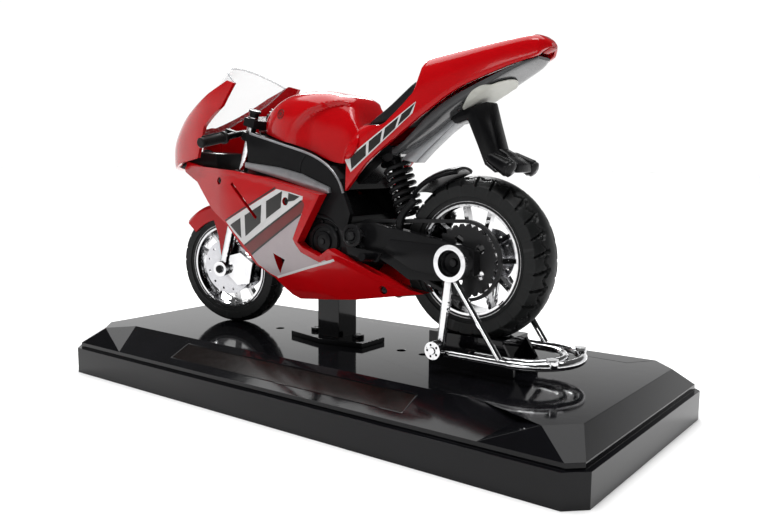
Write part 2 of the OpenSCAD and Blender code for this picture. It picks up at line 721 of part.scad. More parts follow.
// Clear screen: rows from the nose up to the top edge, each an arc from one side to the other
screen_rows = [[60.6, 66.5, 4.6, 2.6, 1.4], [55.5, 71.4, 6.8, 5, 2.2], [49.6, 77.6, 8.4, 8, 4.4], [43.6, 83, 9.4, 9, 5]];
function screen_point(row, i, n, t) =
    let (a = -1 + 2 * i / n, b = 1 - sqrt(1 - 0.86 * a * a), k = b / (1 - sqrt(0.14)))
        [row[0] - k * row[3] - t * 0.7, a * row[2] * (1 - 0.05 * t), row[1] - k * row[4] - t * 0.7];
module windscreen() {
    n = 16;
    color(clear) slab([for (r = screen_rows) [for (i = [0 : n]) screen_point(r, i, n, 0)]],
                      [for (r = screen_rows) [for (i = [0 : n]) screen_point(r, i, n, 0.9)]]);
}

// Side fairing: outline seen from the side, and how far it stands out at each height
fairing_side = [[60.6, 58.4], [47, 56.2], [32, 55.5], [20, 54], [1, 50.3], [8.8, 38.2], [7, 37.4], [1.8, 35.4],
                [-1.4, 37.6], [-20.6, 29.2], [-25, 29], [-25, 27.6], [-6, 25.4], [13, 23.2], [14.6, 24], [18.6, 28.7],
                [24, 31.6], [34, 41.6], [41.6, 45.2], [50, 52], [58.6, 54.6]];
fairing_section = [[11.6, 60], [13.4, 54], [13.8, 46], [13.4, 38], [12.4, 32], [9.8, 27], [6, 22], [4.6, 22],
                   [8.6, 27], [11.3, 32], [12.3, 38], [12.7, 46], [12.3, 54], [10.5, 60]];
nose_turn = 15;
turn_x = 34;
module fairing_bar(x0, x1) {
    translate([x0, 0, 0]) rotate([90, 0, 90]) linear_extrude(x1 - x0) polygon(fairing_section);
}
module fairing() {
    intersection() {
        side_plate(fairing_side, 0, 20);
        union() {
            fairing_bar(-26, turn_x);
            translate([turn_x, 12.9, 0]) rotate([0, 0, -nose_turn]) translate([0, -12.9, 0]) fairing_bar(-0.6, 30);
        }
    }
}
screw_spots = [[37.4, 52.7], [12.4, 48.3], [-14, 28.6]];
screw_head = 0.95;
module fairing_left() {
    color(red) difference() {
        fairing();
        for (p = screw_spots) y_cyl(p[0], p[1], screw_head + 0.05, 9, 20);
    }
}
module fairing_right() {
    color(red) mirror([0, 1, 0]) difference() {
        fairing();
        for (p = screw_spots) y_cyl(p[0], p[1], screw_head + 0.05, 9, 20);
    }
}
module fairing_screws() {
    color(dark_grey) for (s = [0, 1], i = [0 : len(screw_spots) - 1]) mirror([0, s, 0])
        y_cyl(screw_spots[i][0], screw_spots[i][1], screw_head, i == 2 ? 9.6 : 11.6, i == 2 ? 11 : 12.8);
}

// ---------------------------------------------------------------- front end

yoke_low_z = 25.6;
yoke_high_z = 40.2;
leg_r = 1.25;
leg_low_r = 1.4;
module yoke(z, h) {
    translate([0, 0, z]) linear_extrude(h)
        polygon([[-4.3, 2.4], [-4.3, -2.4], [-1.6, -fork_half - 1.9], [1.6, -fork_half - 1.9], [1.6, fork_half + 1.9],
                 [-1.6, fork_half + 1.9]]);
}

module steering_stem() {
    color(black) steered() {
        difference() {
            yoke(yoke_low_z, 2.6);
            for (s = [-1, 1]) translate([0, s * fork_half, 20]) cylinder(r = leg_r, h = 30);
        }
        translate([-fork_offset, 0, yoke_low_z]) cylinder(r = stem_r, h = yoke_high_z + 3.4 - yoke_low_z);
    }
}

module upper_yoke() {
    color(black) steered() difference() {
        yoke(yoke_high_z, 2.2);
        for (s = [-1, 1]) translate([0, s * fork_half, 20]) cylinder(r = leg_r, h = 30);
        translate([-fork_offset, 0, 20]) cylinder(r = stem_r, h = 30);
    }
}

module fork_leg(side) {
    y = side * fork_half;
    difference() {
        union() {
            translate([0, y, -1]) cylinder(r = leg_r, h = yoke_high_z + 3.6);
            translate([0, y, -1]) cylinder(r = leg_low_r, h = 14);
            y_cyl(0, 0, 2.1, side > 0 ? 3.7 : -7.3, side > 0 ? 7.3 : -3.7);
        }
        y_cyl(0, 0, axle_r, -20, 20);
    }
}
module fork_leg_left() {
    color(chrome) steered() fork_leg(1);
}
module fork_leg_right() {
    color(chrome) steered() fork_leg(-1);
}

module front_axle() {
    color(silver) steered() {
        y_cyl(0, 0, axle_r, -7.6, 7.6);
    }
}

// Brake calliper: a block behind the fork leg that reaches over the edge of the disc
disc_r = 7.6;
disc_t = 0.5;
calliper_side = [[-1.2, -0.9], [-1.2, 4.2], [-4.4, 6.2], [-8.8, 4.8], [-9.2, -1.2], [-5.6, -3]];
module calliper(side) {
    mirror([0, side > 0 ? 0 : 1, 0]) difference() {
        side_plate(calliper_side, 1.8, 5.7);
        y_cyl(0, 0, disc_r + 0.15, front_hub_w / 2 - 0.15, front_hub_w / 2 + disc_t + 0.1);
        y_cyl(0, 0, 5.6, 0, front_hub_w / 2 + 0.1);
        translate([0, fork_half, -20]) cylinder(r = leg_low_r, h = 40);
        y_cyl(0, 0, 2.15, 3, 8);
    }
}
module calliper_left() {
    color(chrome) steered() calliper(1);
}
module calliper_right() {
    color(chrome) steered() calliper(-1);
}

// Front mudguard: a curved shell over the tyre and a pointed blade down each fork leg
module front_fender() {
    r0 = front_r + 0.7;
    in = 3.68;
    out = 4.6;
    color(red) steered() difference() {
        union() {
            rotate([90, 0, 0]) rotate([0, 0, 28]) rotate_extrude(angle = 112, $fn = 96)
                polygon([[r0, -out], [r0 + 0.9, -3.6], [r0 + 0.9, 3.6], [r0, out], [r0 - 3.4, out], [r0 - 3.4, in],
                         [r0 - 0.3, in], [r0, 3.2], [r0, -3.2], [r0 - 0.3, -in], [r0 - 3.4, -in], [r0 - 3.4, -out]]);
            for (s = [-1, 1])
                side_plate([[1.9, 2], [1.7, 14], [-3, 14.4], [-1, 16.6], [9, 14.4], [7.6, 12.8], [4.4, 8]],
                           s > 0 ? in + 0.1 : 0.1 - out, s > 0 ? out - 0.1 : -in - 0.1);
        }
        for (s = [-1, 1]) translate([0, s * fork_half, 0]) cylinder(r = leg_low_r + run_gap, h = 30);
    }
}

bar_z = 37.4;
bar_end = 21;
bar_r = 0.8;
grip_r = 1.25;
function bar_root(side) = [leg_r + 1.2, side * (fork_half + 0.4), bar_z + 0.3];
function bar_tip(side) = [leg_r + 2.4, side * (bar_end - 0.6), bar_z - 2];
module clip_on(side) {
    root = bar_root(side);
    tip = bar_tip(side);
    translate([0, side * fork_half, bar_z - 0.9]) difference() {
        cylinder(r = leg_r + 1, h = 2.2);
        translate([0, 0, -over]) cylinder(r = leg_r, h = 5);
    }
    rod(root, tip, bar_r);
    // Perch and lever in front of the grip
    translate([root[0] + 1.6, side * (fork_half + 2.6), bar_z]) cube([3.2, 1.6, 1.5], center = true);
    rod([root[0] + 2.6, side * (fork_half + 2.6), bar_z], [root[0] + 3.6, side * (bar_end - 4), bar_z - 1.4], 0.45);
}
module clip_on_left() {
    color(black) steered() clip_on(1);
}
module clip_on_right() {
    color(black) steered() clip_on(-1);
}

module grip(side) {
    root = bar_root(side);
    tip = bar_tip(side);
    u = (tip - root) / norm(tip - root);
    difference() {
        union() {
            rod(root + u * 7, tip + u * 0.6, grip_r);
            rod(root + u * 6.6, root + u * 7.2, grip_r + 0.25);
        }
        rod(root + u * 5, tip, bar_r);
    }
}
module grip_left() {
    color(black) steered() grip(1);
}
module grip_right() {
    color(black) steered() grip(-1);
}

module front_rim() {
    steered() rim(front_rim_r, front_w - 0.8, 2.4, front_hub_w, axle_r + run_gap);
}
module front_tyre() {
    steered() tyre(front_r, front_w, front_rim_r);
}
module front_discs() {
    color(silver) steered() {
        brake_disc(disc_r, front_hub_w / 2, front_hub_w / 2 + disc_t, axle_r + run_gap);
        mirror([0, 1, 0]) brake_disc(disc_r, front_hub_w / 2, front_hub_w / 2 + disc_t, axle_r + run_gap);
    }
}

// ---------------------------------------------------------------- paddock stand

stand_z = 16.9;
roller_x = -31.3;
roller_z = stand_z + 0.9;
stand_rear_x = -47.8;
ring_out = 4;
ring_in = 2.9;
ring_y0 = 9.2;
ring_y1 = 12.2;
module stand_side(s) {
    y = s * stand_half;
    difference() {
        y_cyl(rear_axle_x, rear_axle_z, ring_out, s > 0 ? ring_y0 : -ring_y1, s > 0 ? ring_y1 : -ring_y0);
        y_cyl(rear_axle_x, rear_axle_z, 1.7 + run_gap, -20, 20);
        y_cyl(rear_axle_x, rear_axle_z, ring_in, s > 0 ? 10.4 : -20, s > 0 ? 20 : -10.4);
    }
    rod([rear_axle_x + 0.8, y, rear_axle_z - 3.6], [roller_x, y, stand_z], 1);
    rod([rear_axle_x - 0.6, y, rear_axle_z - 3.6], [-46.2, y, stand_z], 0.7);
    rod([roller_x, y, stand_z], [stand_rear_x - 0.3, y, stand_z], stand_bar_r);
    translate([roller_x, y, stand_z + 0.2]) sphere(r = 1.25);
}
// The two sides, and a half circle behind that joins the bars, with a boss near each bend
module stand_frame() {
    boss_y = 7;
    boss_x = stand_rear_x - sqrt(stand_half * stand_half - boss_y * boss_y);
    color(chrome) {
        for (s = [-1, 1]) stand_side(s);
        translate([stand_rear_x, 0, stand_z]) rotate([0, 0, 90]) rotate_extrude(angle = 180, $fn = 64)
            translate([stand_half, 0]) circle(r = stand_bar_r + 0.15, $fn = 24);
        for (s = [-1, 1]) translate([boss_x, s * boss_y, stand_z - 0.3]) cylinder(r = 1.25, h = 1.9);
        for (s = [-1, 1]) y_cyl(roller_x, roller_z, 0.7, s > 0 ? stand_half : -14.4, s > 0 ? 14.4 : -stand_half);
    }
}

module roller(s) {
    difference() {
        y_cyl(roller_x, roller_z, 2, s > 0 ? 12.1 : -14.1, s > 0 ? 14.1 : -12.1);
        y_cyl(roller_x, roller_z, 0.7 + run_gap, -20, 20);
        for (a = [0 : 72 : 288]) translate([roller_x + 1.3 * cos(a), 0, roller_z + 1.3 * sin(a)])
            y_cyl(0, 0, 0.25, s > 0 ? 13.4 : -20, s > 0 ? 20 : -13.4);
    }
}
module roller_left() {
    color(chrome) roller(1);
}
module roller_right() {
    color(chrome) roller(-1);
}

// ---------------------------------------------------------------- assembly

display_base();
base_plate();
base_screws();
nameplate();
support_post();
post_screws();
wheel_block();
main_frame();
frame_strip_left();
frame_strip_right();
engine_block();
engine_cover_left();
engine_cover_right();
radiator();
exhaust();
footpeg_left();
footpeg_right();
fuel_tank();
seat();
tail_cowl();
under_tray();
tail_lamp();
round_label();
plate_bracket();
nose_cowl();
headlamps();
windscreen();
fairing_left();
fairing_right();
fairing_screws();
pivot_bolt();
shock_body();
shock_spring();
swingarm();
chain();
hugger();
rear_axle();
rear_rim();
rear_tyre();
sprocket();
rear_disc();
steering_stem();
upper_yoke();
fork_leg_left();
fork_leg_right();
front_axle();
calliper_left();
calliper_right();
front_fender();
clip_on_left();
clip_on_right();
grip_left();
grip_right();
front_rim();
front_tyre();
front_discs();
stand_frame();
roller_left();
roller_right();
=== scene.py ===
import json
from math import atan2, ceil, copysign, cos, exp, hypot, inf, pi, radians, sin, sqrt, tan

import bmesh
import bpy
from mathutils import Matrix, Vector
from mathutils.bvhtree import BVHTree


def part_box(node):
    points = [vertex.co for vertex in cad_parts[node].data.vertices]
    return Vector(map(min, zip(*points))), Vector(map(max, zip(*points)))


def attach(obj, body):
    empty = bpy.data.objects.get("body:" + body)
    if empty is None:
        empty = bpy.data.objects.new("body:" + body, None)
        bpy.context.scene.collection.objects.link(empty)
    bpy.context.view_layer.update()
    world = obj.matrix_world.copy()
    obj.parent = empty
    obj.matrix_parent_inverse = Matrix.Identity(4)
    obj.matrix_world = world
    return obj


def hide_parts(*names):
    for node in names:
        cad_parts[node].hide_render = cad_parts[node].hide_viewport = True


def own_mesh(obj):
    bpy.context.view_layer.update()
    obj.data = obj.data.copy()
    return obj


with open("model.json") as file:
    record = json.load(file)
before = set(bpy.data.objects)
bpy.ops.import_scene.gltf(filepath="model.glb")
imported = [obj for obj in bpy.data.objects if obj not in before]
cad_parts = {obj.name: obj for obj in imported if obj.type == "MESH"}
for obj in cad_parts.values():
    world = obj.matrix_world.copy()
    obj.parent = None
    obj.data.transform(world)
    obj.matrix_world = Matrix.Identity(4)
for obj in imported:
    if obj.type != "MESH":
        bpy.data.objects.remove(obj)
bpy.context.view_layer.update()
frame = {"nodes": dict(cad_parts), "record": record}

# Lengths are in millimetres, in the frame of the CAD model: X ahead, Y to the left and Z up.
# MM turns them into metres.
MM = 0.001
SIDES = ((1, "left"), (-1, "right"))
scene = bpy.context.scene
joints = {joint["name"]: joint for joint in frame["record"]["behaviour"]["joints"]}


# ---- materials

SMEARS_PER_PATCH = 2.3
EDGE_RANGE = (0.52, 0.62)
WORN_COLOUR = (0.55, 0.55, 0.56, 1)
# Ambient occlusion range, and the painted shade that it gives in recesses
RECESS_RANGE = (0.25, 0.9)
RECESS_SHADE = (0.03, 1.0)


def feed(tree, socket, source):
    """Links an output to an input, or sets the input where the source is a plain value."""
    if isinstance(source, bpy.types.NodeSocket):
        tree.links.new(source, socket)
    else:
        socket.default_value = source


def node_of(tree, kind, **values):
    """A new shader node, with what feeds its inputs, or its properties where it has no such input."""
    node = tree.nodes.new("ShaderNode" + kind)
    for key, value in values.items():
        if key in node.inputs:
            feed(tree, node.inputs[key], value)
        else:
            setattr(node, key, value)
    return node


def ranged(tree, value, source, target):
    """Turns a value that runs over the source range into one that runs over the target range."""
    node = node_of(tree, "MapRange", Value=value)
    for name, number in zip(("From Min", "From Max", "To Min", "To Max"), (*source, *target)):
        node.inputs[name].default_value = number
    return node.outputs["Result"]


def drifting_colour(tree, place, colour, other, spread, patch):
    """From a little darker than one colour to a little lighter than the other, over patches of this size."""
    patches = node_of(tree, "TexNoise", Vector=place, Scale=1 / (patch * MM), Detail=4.0, Roughness=0.6)
    ramp = node_of(tree, "ValToRGB", Fac=patches.outputs["Fac"])
    low, high = ramp.color_ramp.elements
    low.position = 0.3
    low.color = [c * (1 - spread) for c in colour] + [1]
    high.position = 0.7
    high.color = [min(1.0, c * (1 + spread)) for c in other] + [1]
    return ramp.outputs["Color"]


def with_worn_edges(tree, shade, wear):
    """The colour, lighter by wear along convex edges."""
    edge = node_of(tree, "NewGeometry").outputs["Pointiness"]
    share = ranged(tree, edge, EDGE_RANGE, (0.0, wear))
    return node_of(tree, "MixRGB", Fac=share, Color1=shade, Color2=WORN_COLOUR).outputs["Color"]


def with_painted_recess_shade(tree, shade, reach):
    """The colour with painted shade: darker where other surfaces stand within reach."""
    closed = node_of(tree, "AmbientOcclusion", Distance=reach * MM, samples=6)
    light = ranged(tree, closed.outputs["AO"], RECESS_RANGE, RECESS_SHADE)
    mix = node_of(tree, "MixRGB", blend_type="MULTIPLY", Fac=1.0, Color1=shade, Color2=light)
    return mix.outputs["Color"]


def finish(name, colour, rough, metal=0.0, coat=0.0, spread=0.12, rough_spread=0.05, patch=4.0, grain=0.25,
           bump=0.01, cells=False, wear=0.0, tint=None, index=1.25, recess_shade_reach=0.0):
    """A procedural material. Its colour drifts by spread, towards tint, over patches of size patch, and its
    roughness by rough_spread over smaller ones. A grain of size grain stands up by bump. Given a reach for
    recess shade, shade is painted in where other surfaces stand within that reach."""
    material = bpy.data.materials.new(name)
    material.use_nodes = True
    tree = material.node_tree
    place = node_of(tree, "TexCoord").outputs["Object"]
    shade = drifting_colour(tree, place, colour, tint or colour, spread, patch)
    if wear:
        shade = with_worn_edges(tree, shade, wear)
    # painted shade: darker in recesses, where other surfaces stand close
    if recess_shade_reach:
        shade = with_painted_recess_shade(tree, shade, recess_shade_reach)
    smears = node_of(tree, "TexNoise", Vector=place, Scale=SMEARS_PER_PATCH / (patch * MM), Detail=3.0)
    roughness = (max(0.0, rough - rough_spread), rough + rough_spread)
    kind, height = ("TexVoronoi", "Distance") if cells else ("TexNoise", "Fac")
    relief = node_of(tree, kind, Vector=place, Scale=1 / (grain * MM)).outputs[height]
    raised = node_of(tree, "Bump", Height=relief, Strength=1.0, Distance=bump * MM)
    inputs = {
        "Base Color": shade,
        "Roughness": ranged(tree, smears.outputs["Fac"], (0.0, 1.0), roughness),
        "Normal": raised.outputs["Normal"],
        "Metallic": metal,
        "Coat Weight": coat,
        "Coat Roughness": 0.03,
        "Coat IOR": 1.3,
        "IOR": index,
    }
    for key, source in inputs.items():
        feed(tree, tree.nodes["Principled BSDF"].inputs[key], source)
    return material


def clear_finish(name, colour, faint, strong):
    """Clear plastic: faint where it is seen square on and stronger towards its edges."""
    material = finish(name, colour, 0.06, rough_spread=0.03, grain=1.2, bump=0.004)
    tree = material.node_tree
    slant = node_of(tree, "LayerWeight", Blend=0.35).outputs["Facing"]
    opacity = ranged(tree, slant, (0.0, 1.0), (faint, strong))
    tree.links.new(opacity, tree.nodes["Principled BSDF"].inputs["Alpha"])
    return material


PRINT = dict(rough=0.22, coat=0.8, grain=0.5, bump=0.003)
FINISHES = {
    "black_base": dict(colour=(0.003, 0.003, 0.0035), tint=(0.004, 0.004, 0.005), rough=0.07,
                       rough_spread=0.03, patch=9, grain=2.5, bump=0.004, index=1.3),
    "steel": dict(colour=(0.5, 0.51, 0.53), rough=0.28, metal=1.0, grain=0.12, bump=0.01),
    "panel_bronze": dict(colour=(0.006, 0.004, 0.0035), rough=0.12, patch=3, grain=0.15, bump=0.003),
    "frame_black": dict(colour=(0.0035, 0.0035, 0.004), rough=0.22, patch=2.5, grain=0.3, bump=0.008,
                        wear=0.03, index=1.18),
    "frame_grey": dict(colour=(0.26, 0.265, 0.275), rough=0.3, metal=0.6, patch=2, grain=0.12, bump=0.006),
    "exhaust_silver": dict(colour=(0.5, 0.5, 0.51), tint=(0.52, 0.46, 0.38), rough=0.3, metal=1.0, patch=3,
                           grain=0.1, bump=0.012),
    "red_paint": dict(colour=(0.4, 0.002, 0.004), rough=0.14, coat=0.5, spread=0.05, rough_spread=0.03,
                      patch=7, grain=1.1, bump=0.004),
    "seat_black": dict(colour=(0.008, 0.008, 0.009), rough=0.42, patch=2, grain=0.35, bump=0.03, cells=True),
    "lamp_red": dict(colour=(0.3, 0.003, 0.003), rough=0.15, patch=1, grain=0.3, bump=0.02),
    "label_cream": dict(colour=(0.46, 0.46, 0.42), rough=0.42, spread=0.05, patch=2.5, grain=0.1, bump=0.003),
    # chrome and disc_metal get painted shade in their recesses
    "chrome": dict(colour=(0.66, 0.66, 0.67), rough=0.06, metal=1.0, spread=0.06, rough_spread=0.04,
                   patch=2.5, grain=1.1, bump=0.06, recess_shade_reach=3.5),
    "disc_metal": dict(colour=(0.5, 0.5, 0.52), rough=0.2, metal=1.0, spread=0.05, patch=1.5, grain=0.12,
                       bump=0.008, recess_shade_reach=2.5),
    "tyre_rubber": dict(colour=(0.006, 0.0065, 0.0065), rough=0.42, spread=0.3, rough_spread=0.1, patch=3,
                        grain=0.12, bump=0.02, wear=0.03),
    "grip_rubber": dict(colour=(0.006, 0.006, 0.006), rough=0.45, patch=1, grain=0.12, bump=0.02),
    "print_white": dict(PRINT, colour=(0.56, 0.55, 0.55), spread=0.03, patch=5),
    "print_pale": dict(PRINT, colour=(0.36, 0.31, 0.32), rough=0.2, coat=0.9, spread=0.05, patch=6),
    "print_dark": dict(PRINT, colour=(0.02, 0.019, 0.018), spread=0.1, patch=3),
    "print_maroon": dict(PRINT, colour=(0.13, 0.018, 0.017), rough=0.2, spread=0.08, patch=4),
    # The under-tray is black plastic; its grey colour is painted sheen.
    "tray_painted_sheen": dict(colour=(0.055, 0.055, 0.057), rough=0.18, coat=0.3, patch=4, grain=1.5, bump=0.006),
}
looks = {name: finish(name, **values) for name, values in FINISHES.items()}
looks["clear_plastic"] = clear_finish("clear_plastic", (0.8, 0.84, 0.86), 0.03, 0.3)
looks["clear_edge"] = clear_finish("clear_edge", (0.3, 0.32, 0.34), 0.25, 0.7)


# ---- numbers and outlines

def smooth_step(low, high, value):
    """Rises smoothly from 0 to 1 as the value goes from low to high."""
    t = min(1.0, max(0.0, (value - low) / (high - low)))
    return t * t * (3 - 2 * t)


def circle(count):
    """Cosine and sine of this many angles, spread over a full turn."""
    return [(cos(a), sin(a)) for a in (2 * pi * i / count for i in range(count))]


def squarer(value, power):
    """A sine or cosine pushed away from zero, which makes a circle squarer the smaller the power is."""
    return copysign(abs(value) ** power, value)


def oval(x, z, half_width, half_height, square, count):
    """Ring of points across the X axis, about the middle plane at height z."""
    return [[x, half_width * squarer(c, square), z + half_height * squarer(s, square)]
            for c, s in circle(count)]


def curve_through(points, steps):
    """Points on a smooth curve through these ones, with steps of them in each gap. A point may hold any
    number of values."""
    made = []
    last = len(points) - 1
    for k in range(last):
        near = points[max(0, k - 1)], points[k], points[k + 1], points[min(last, k + 2)]
        for t in (s / steps for s in range(steps)):
            made.append([b + t * (c - a + t * (2 * a - 5 * b + 4 * c - d + t * (3 * b - 3 * c + d - a))) / 2
                         for a, b, c, d in zip(*near)])
    made.append(list(points[-1]))
    return made


def value_at(rows, place):
    """Value at a place along rows of [place, value] in rising order, level past both ends."""
    for a, b in zip(rows, rows[1:]):
        if place <= b[0]:
            share = max(0.0, (place - a[0]) / (b[0] - a[0]))
            return a[1] + share * (b[1] - a[1])
    return rows[-1][1]


def between(a, b, share):
    """Point at a share of the way from a to b."""
    return [a[0] + (b[0] - a[0]) * share, a[1] + (b[1] - a[1]) * share]


def strip_along(a, b, half):
    """Outline of a strip of this half width along a line of [x, z] points."""
    dx, dz = b[0] - a[0], b[1] - a[1]
    length = hypot(dx, dz)
    nx, nz = -dz / length * half, dx / length * half
    return [[a[0] + nx, a[1] + nz], [b[0] + nx, b[1] + nz], [b[0] - nx, b[1] - nz], [a[0] - nx, a[1] - nz]]


def distance_to(x, z, line):
    """Shortest distance from a point to a line of [x, z] points."""
    best = inf
    for (ax, az), (bx, bz) in zip(line, line[1:]):
        dx, dz = bx - ax, bz - az
        t = min(1.0, max(0.0, ((x - ax) * dx + (z - az) * dz) / (dx * dx + dz * dz)))
        best = min(best, hypot(x - ax - t * dx, z - az - t * dz))
    return best


def inside(x, z, outline):
    """Whether a point lies in an outline of [x, z] points."""
    found = False
    for (ax, az), (bx, bz) in zip(outline, outline[1:] + outline[:1]):
        if (az > z) != (bz > z) and x < (bx - ax) * (z - az) / (bz - az) + ax:
            found = not found
    return found


# ---- meshes

SAME_POINT = 0.003
NO_LENGTH = 0.001
BEVEL_ANGLE = 50
ROUNDED_END = ((0.45, 0.55), (0.3, 0.85))
PANEL_REACH = (-5, 40)
PRINT_THICK = 0.12


def shaded(mesh, crease=35):
    """Shades a mesh smooth, with sharp edges above this angle."""
    mesh.shade_smooth()
    mesh.set_sharp_from_angle(angle=radians(crease))
    return mesh


def tidy(mesh, crease=35):
    """Joins equal points, turns the faces outwards, and shades smooth up to this angle."""
    shape = bmesh.new()
    shape.from_mesh(mesh)
    bmesh.ops.remove_doubles(shape, verts=shape.verts, dist=SAME_POINT * MM)
    bmesh.ops.dissolve_degenerate(shape, dist=NO_LENGTH * MM, edges=shape.edges)
    bmesh.ops.recalc_face_normals(shape, faces=shape.faces)
    shape.to_mesh(mesh)
    shape.free()
    return shaded(mesh, crease)


def mesh_of(points, faces, crease=35):
    mesh = bpy.data.meshes.new("piece")
    mesh.from_pydata([Vector(p) * MM for p in points], [], faces)
    return tidy(mesh, crease)


def bands(rows, columns, closed, first=0):
    """Faces between rows of points that are numbered row after row, from first."""
    reach = columns if closed else columns - 1
    return [(first + k * columns + i, first + k * columns + (i + 1) % columns,
             first + (k + 1) * columns + (i + 1) % columns, first + (k + 1) * columns + i)
            for k in range(rows - 1) for i in range(reach)]


def skin(rings, crease=35, around=False):
    """Closed mesh through rings of points. Where around is true, the last ring meets the first one."""
    count = len(rings[0])
    rows = rings + [rings[0]] if around else rings
    faces = bands(len(rows), count, True)
    if not around:
        faces += [tuple(range(count)), tuple(range((len(rings) - 1) * count, len(rings) * count))]
    return mesh_of([p for ring in rows for p in ring], faces, crease)


def slab(outer, inner, crease=35):
    """Closed mesh between two grids of points of the same size."""
    rows, columns = len(outer), len(outer[0])
    shift = rows * columns
    faces = bands(rows, columns, False) + bands(rows, columns, False, shift)
    edges = [(k * columns + i, (k + 1) * columns + i) for k in range(rows - 1) for i in (0, columns - 1)]
    edges += [(k * columns + i, k * columns + i + 1) for i in range(columns - 1) for k in (0, rows - 1)]
    faces += [(a, b, b + shift, a + shift) for a, b in edges]
    return mesh_of([p for row in outer + inner for p in row], faces, crease)


def prism(outline, y0, y1):
    """Solid with this side outline of [x, z] points, between y0 and y1."""
    return skin([[(x, y, z) for x, z in outline] for y in (y0, y1)], 30)


def lathe(profile, steps=64, crease=35):
    """Solid turned about the Z axis from a closed outline of [radius, height] points."""
    return skin([[(r * c, r * s, h) for r, h in profile] for c, s in circle(steps)], crease, around=True)


def tube(path, radius, sides=12, steps=4):
    """Round bar along a smooth curve through the points of path, with rounded ends. Radius may be a function
    of the share of its length."""
    line = [Vector(p) for p in curve_through(path, steps)]
    side = (line[1] - line[0]).orthogonal().normalized()
    rings = []
    last = len(line) - 1
    for k, point in enumerate(line):
        along = (line[min(last, k + 1)] - line[max(0, k - 1)]).normalized()
        side = (side - along * side.dot(along)).normalized()
        across = along.cross(side)
        r = radius(k / last) if callable(radius) else radius
        stops = [(0.0, 1.0)]
        if k == 0:
            stops = [(-shift, share) for shift, share in ROUNDED_END] + stops
        if k == last:
            stops += reversed(ROUNDED_END)
        for shift, share in stops:
            middle = point + along * shift * r
            rings.append([middle + (side * c + across * s) * r * share for c, s in circle(sides)])
    return skin(rings, 50)


def placed(mesh, matrix):
    """The mesh moved by a matrix in millimetres."""
    move = matrix.copy()
    move.translation = move.translation * MM
    mesh.transform(move)
    return mesh


def turned(profile, steps, matrix):
    """A lathe with its axis placed by a matrix in millimetres."""
    return placed(lathe(profile, steps), matrix)


def y_axis(x, y, z):
    """Turns a lathe's axis to point along +Y, from this point."""
    return Matrix.Translation((x, y, z)) @ Matrix.Rotation(-pi / 2, 4, "X")


def facing(point, normal):
    """Turns a lathe's axis to point along a normal, from this point."""
    return Matrix.Translation(point) @ Vector(normal).to_track_quat("Z", "Y").to_matrix().to_4x4()


def mirrored(mesh):
    """A copy on the other side of the middle plane."""
    other = mesh.copy()
    other.transform(Matrix.Scale(-1, 4, (0, 1, 0)))
    return tidy(other)


def joined(meshes, crease=35):
    """One mesh of several, which keep their own surfaces."""
    whole = bmesh.new()
    for mesh in meshes:
        whole.from_mesh(mesh)
    made = bpy.data.meshes.new("joined")
    whole.to_mesh(made)
    whole.free()
    return shaded(made, crease)


def rounded(thing, width, angle):
    """Rounds the edges of an object that are sharper than this angle."""
    step = thing.modifiers.new("round", "BEVEL")
    step.width = width * MM
    step.segments = 2
    step.limit_method = "ANGLE"
    step.angle_limit = radians(angle)


def linked(name, data):
    """A new object of this data in the scene."""
    thing = bpy.data.objects.new(name, data)
    scene.collection.objects.link(thing)
    return thing


def worked(mesh, keep=None, cut=(), bevel=0.0, crease=35):
    """The mesh inside keep and outside the solids in cut, with its sharp edges rounded by bevel."""
    work = linked("work", mesh)
    others = [(solid, "DIFFERENCE") for solid in cut]
    if keep is not None:
        others.insert(0, (keep, "INTERSECT"))
    helpers = []
    for solid, operation in others:
        helpers.append(linked("helper", solid))
        step = work.modifiers.new("cut", "BOOLEAN")
        step.operation = operation
        step.solver = "EXACT"
        step.object = helpers[-1]
    if bevel:
        rounded(work, bevel, BEVEL_ANGLE)
    graph = bpy.context.evaluated_depsgraph_get()
    made = bpy.data.meshes.new_from_object(work.evaluated_get(graph))
    for thing in helpers + [work]:
        bpy.data.objects.remove(thing)
    return tidy(made, crease)


def piece(name, mesh, body="root", look="frame_black", nodes=()):
    """A finished piece that rides on a body and may stand for CAD nodes."""
    thing = linked(name, mesh)
    mesh.materials.clear()
    mesh.materials.append(looks[look])
    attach(thing, body)
    if nodes:
        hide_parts(*nodes)
    return thing


def pair(name, make, body="root", look="frame_black", node=None):
    """The same piece on both sides, made by a function of the side. It may stand for a node on each side."""
    for side, hand in SIDES:
        piece(f"{name}_{hand}", make(side), body, look, [f"{node}_{hand}"] if node else ())


def side_of(mesh):
    """Function that gives the y and the normal where a mesh is met from the left at x, z, or two Nones."""
    shape = bmesh.new()
    shape.from_mesh(mesh)
    tree = BVHTree.FromBMesh(shape)
    shape.free()

    def found(x, z):
        hit = tree.ray_cast(Vector((x, 60, z)) * MM, Vector((0, -1, 0)))
        return (hit[0].y / MM, hit[1]) if hit[0] else (None, None)
    return found


def grid_over(outline, cell):
    """Columns and rows of a grid that covers an outline, about a cell larger than it all round."""
    def lines(values):
        count = int((max(values) - min(values)) / cell) + 4
        return [min(values) + cell * (i - 0.9) for i in range(count)]
    return lines([p[0] for p in outline]), lines([p[1] for p in outline])


def panel(outline, depth, thick, cell=0.7, cut=(), bevel=0.0):
    """Shell with this side outline, whose outer face lies at y = depth(x, z) and is thick(x, z) deep."""
    xs, zs = grid_over(outline, cell)
    outer = [[(x, depth(x, z), z) for x in xs] for z in zs]
    inner = [[(x, y - thick(x, z), z) for x, y, z in row] for row in outer]
    return worked(slab(outer, inner), keep=prism(outline, *PANEL_REACH), cut=cut, bevel=bevel)


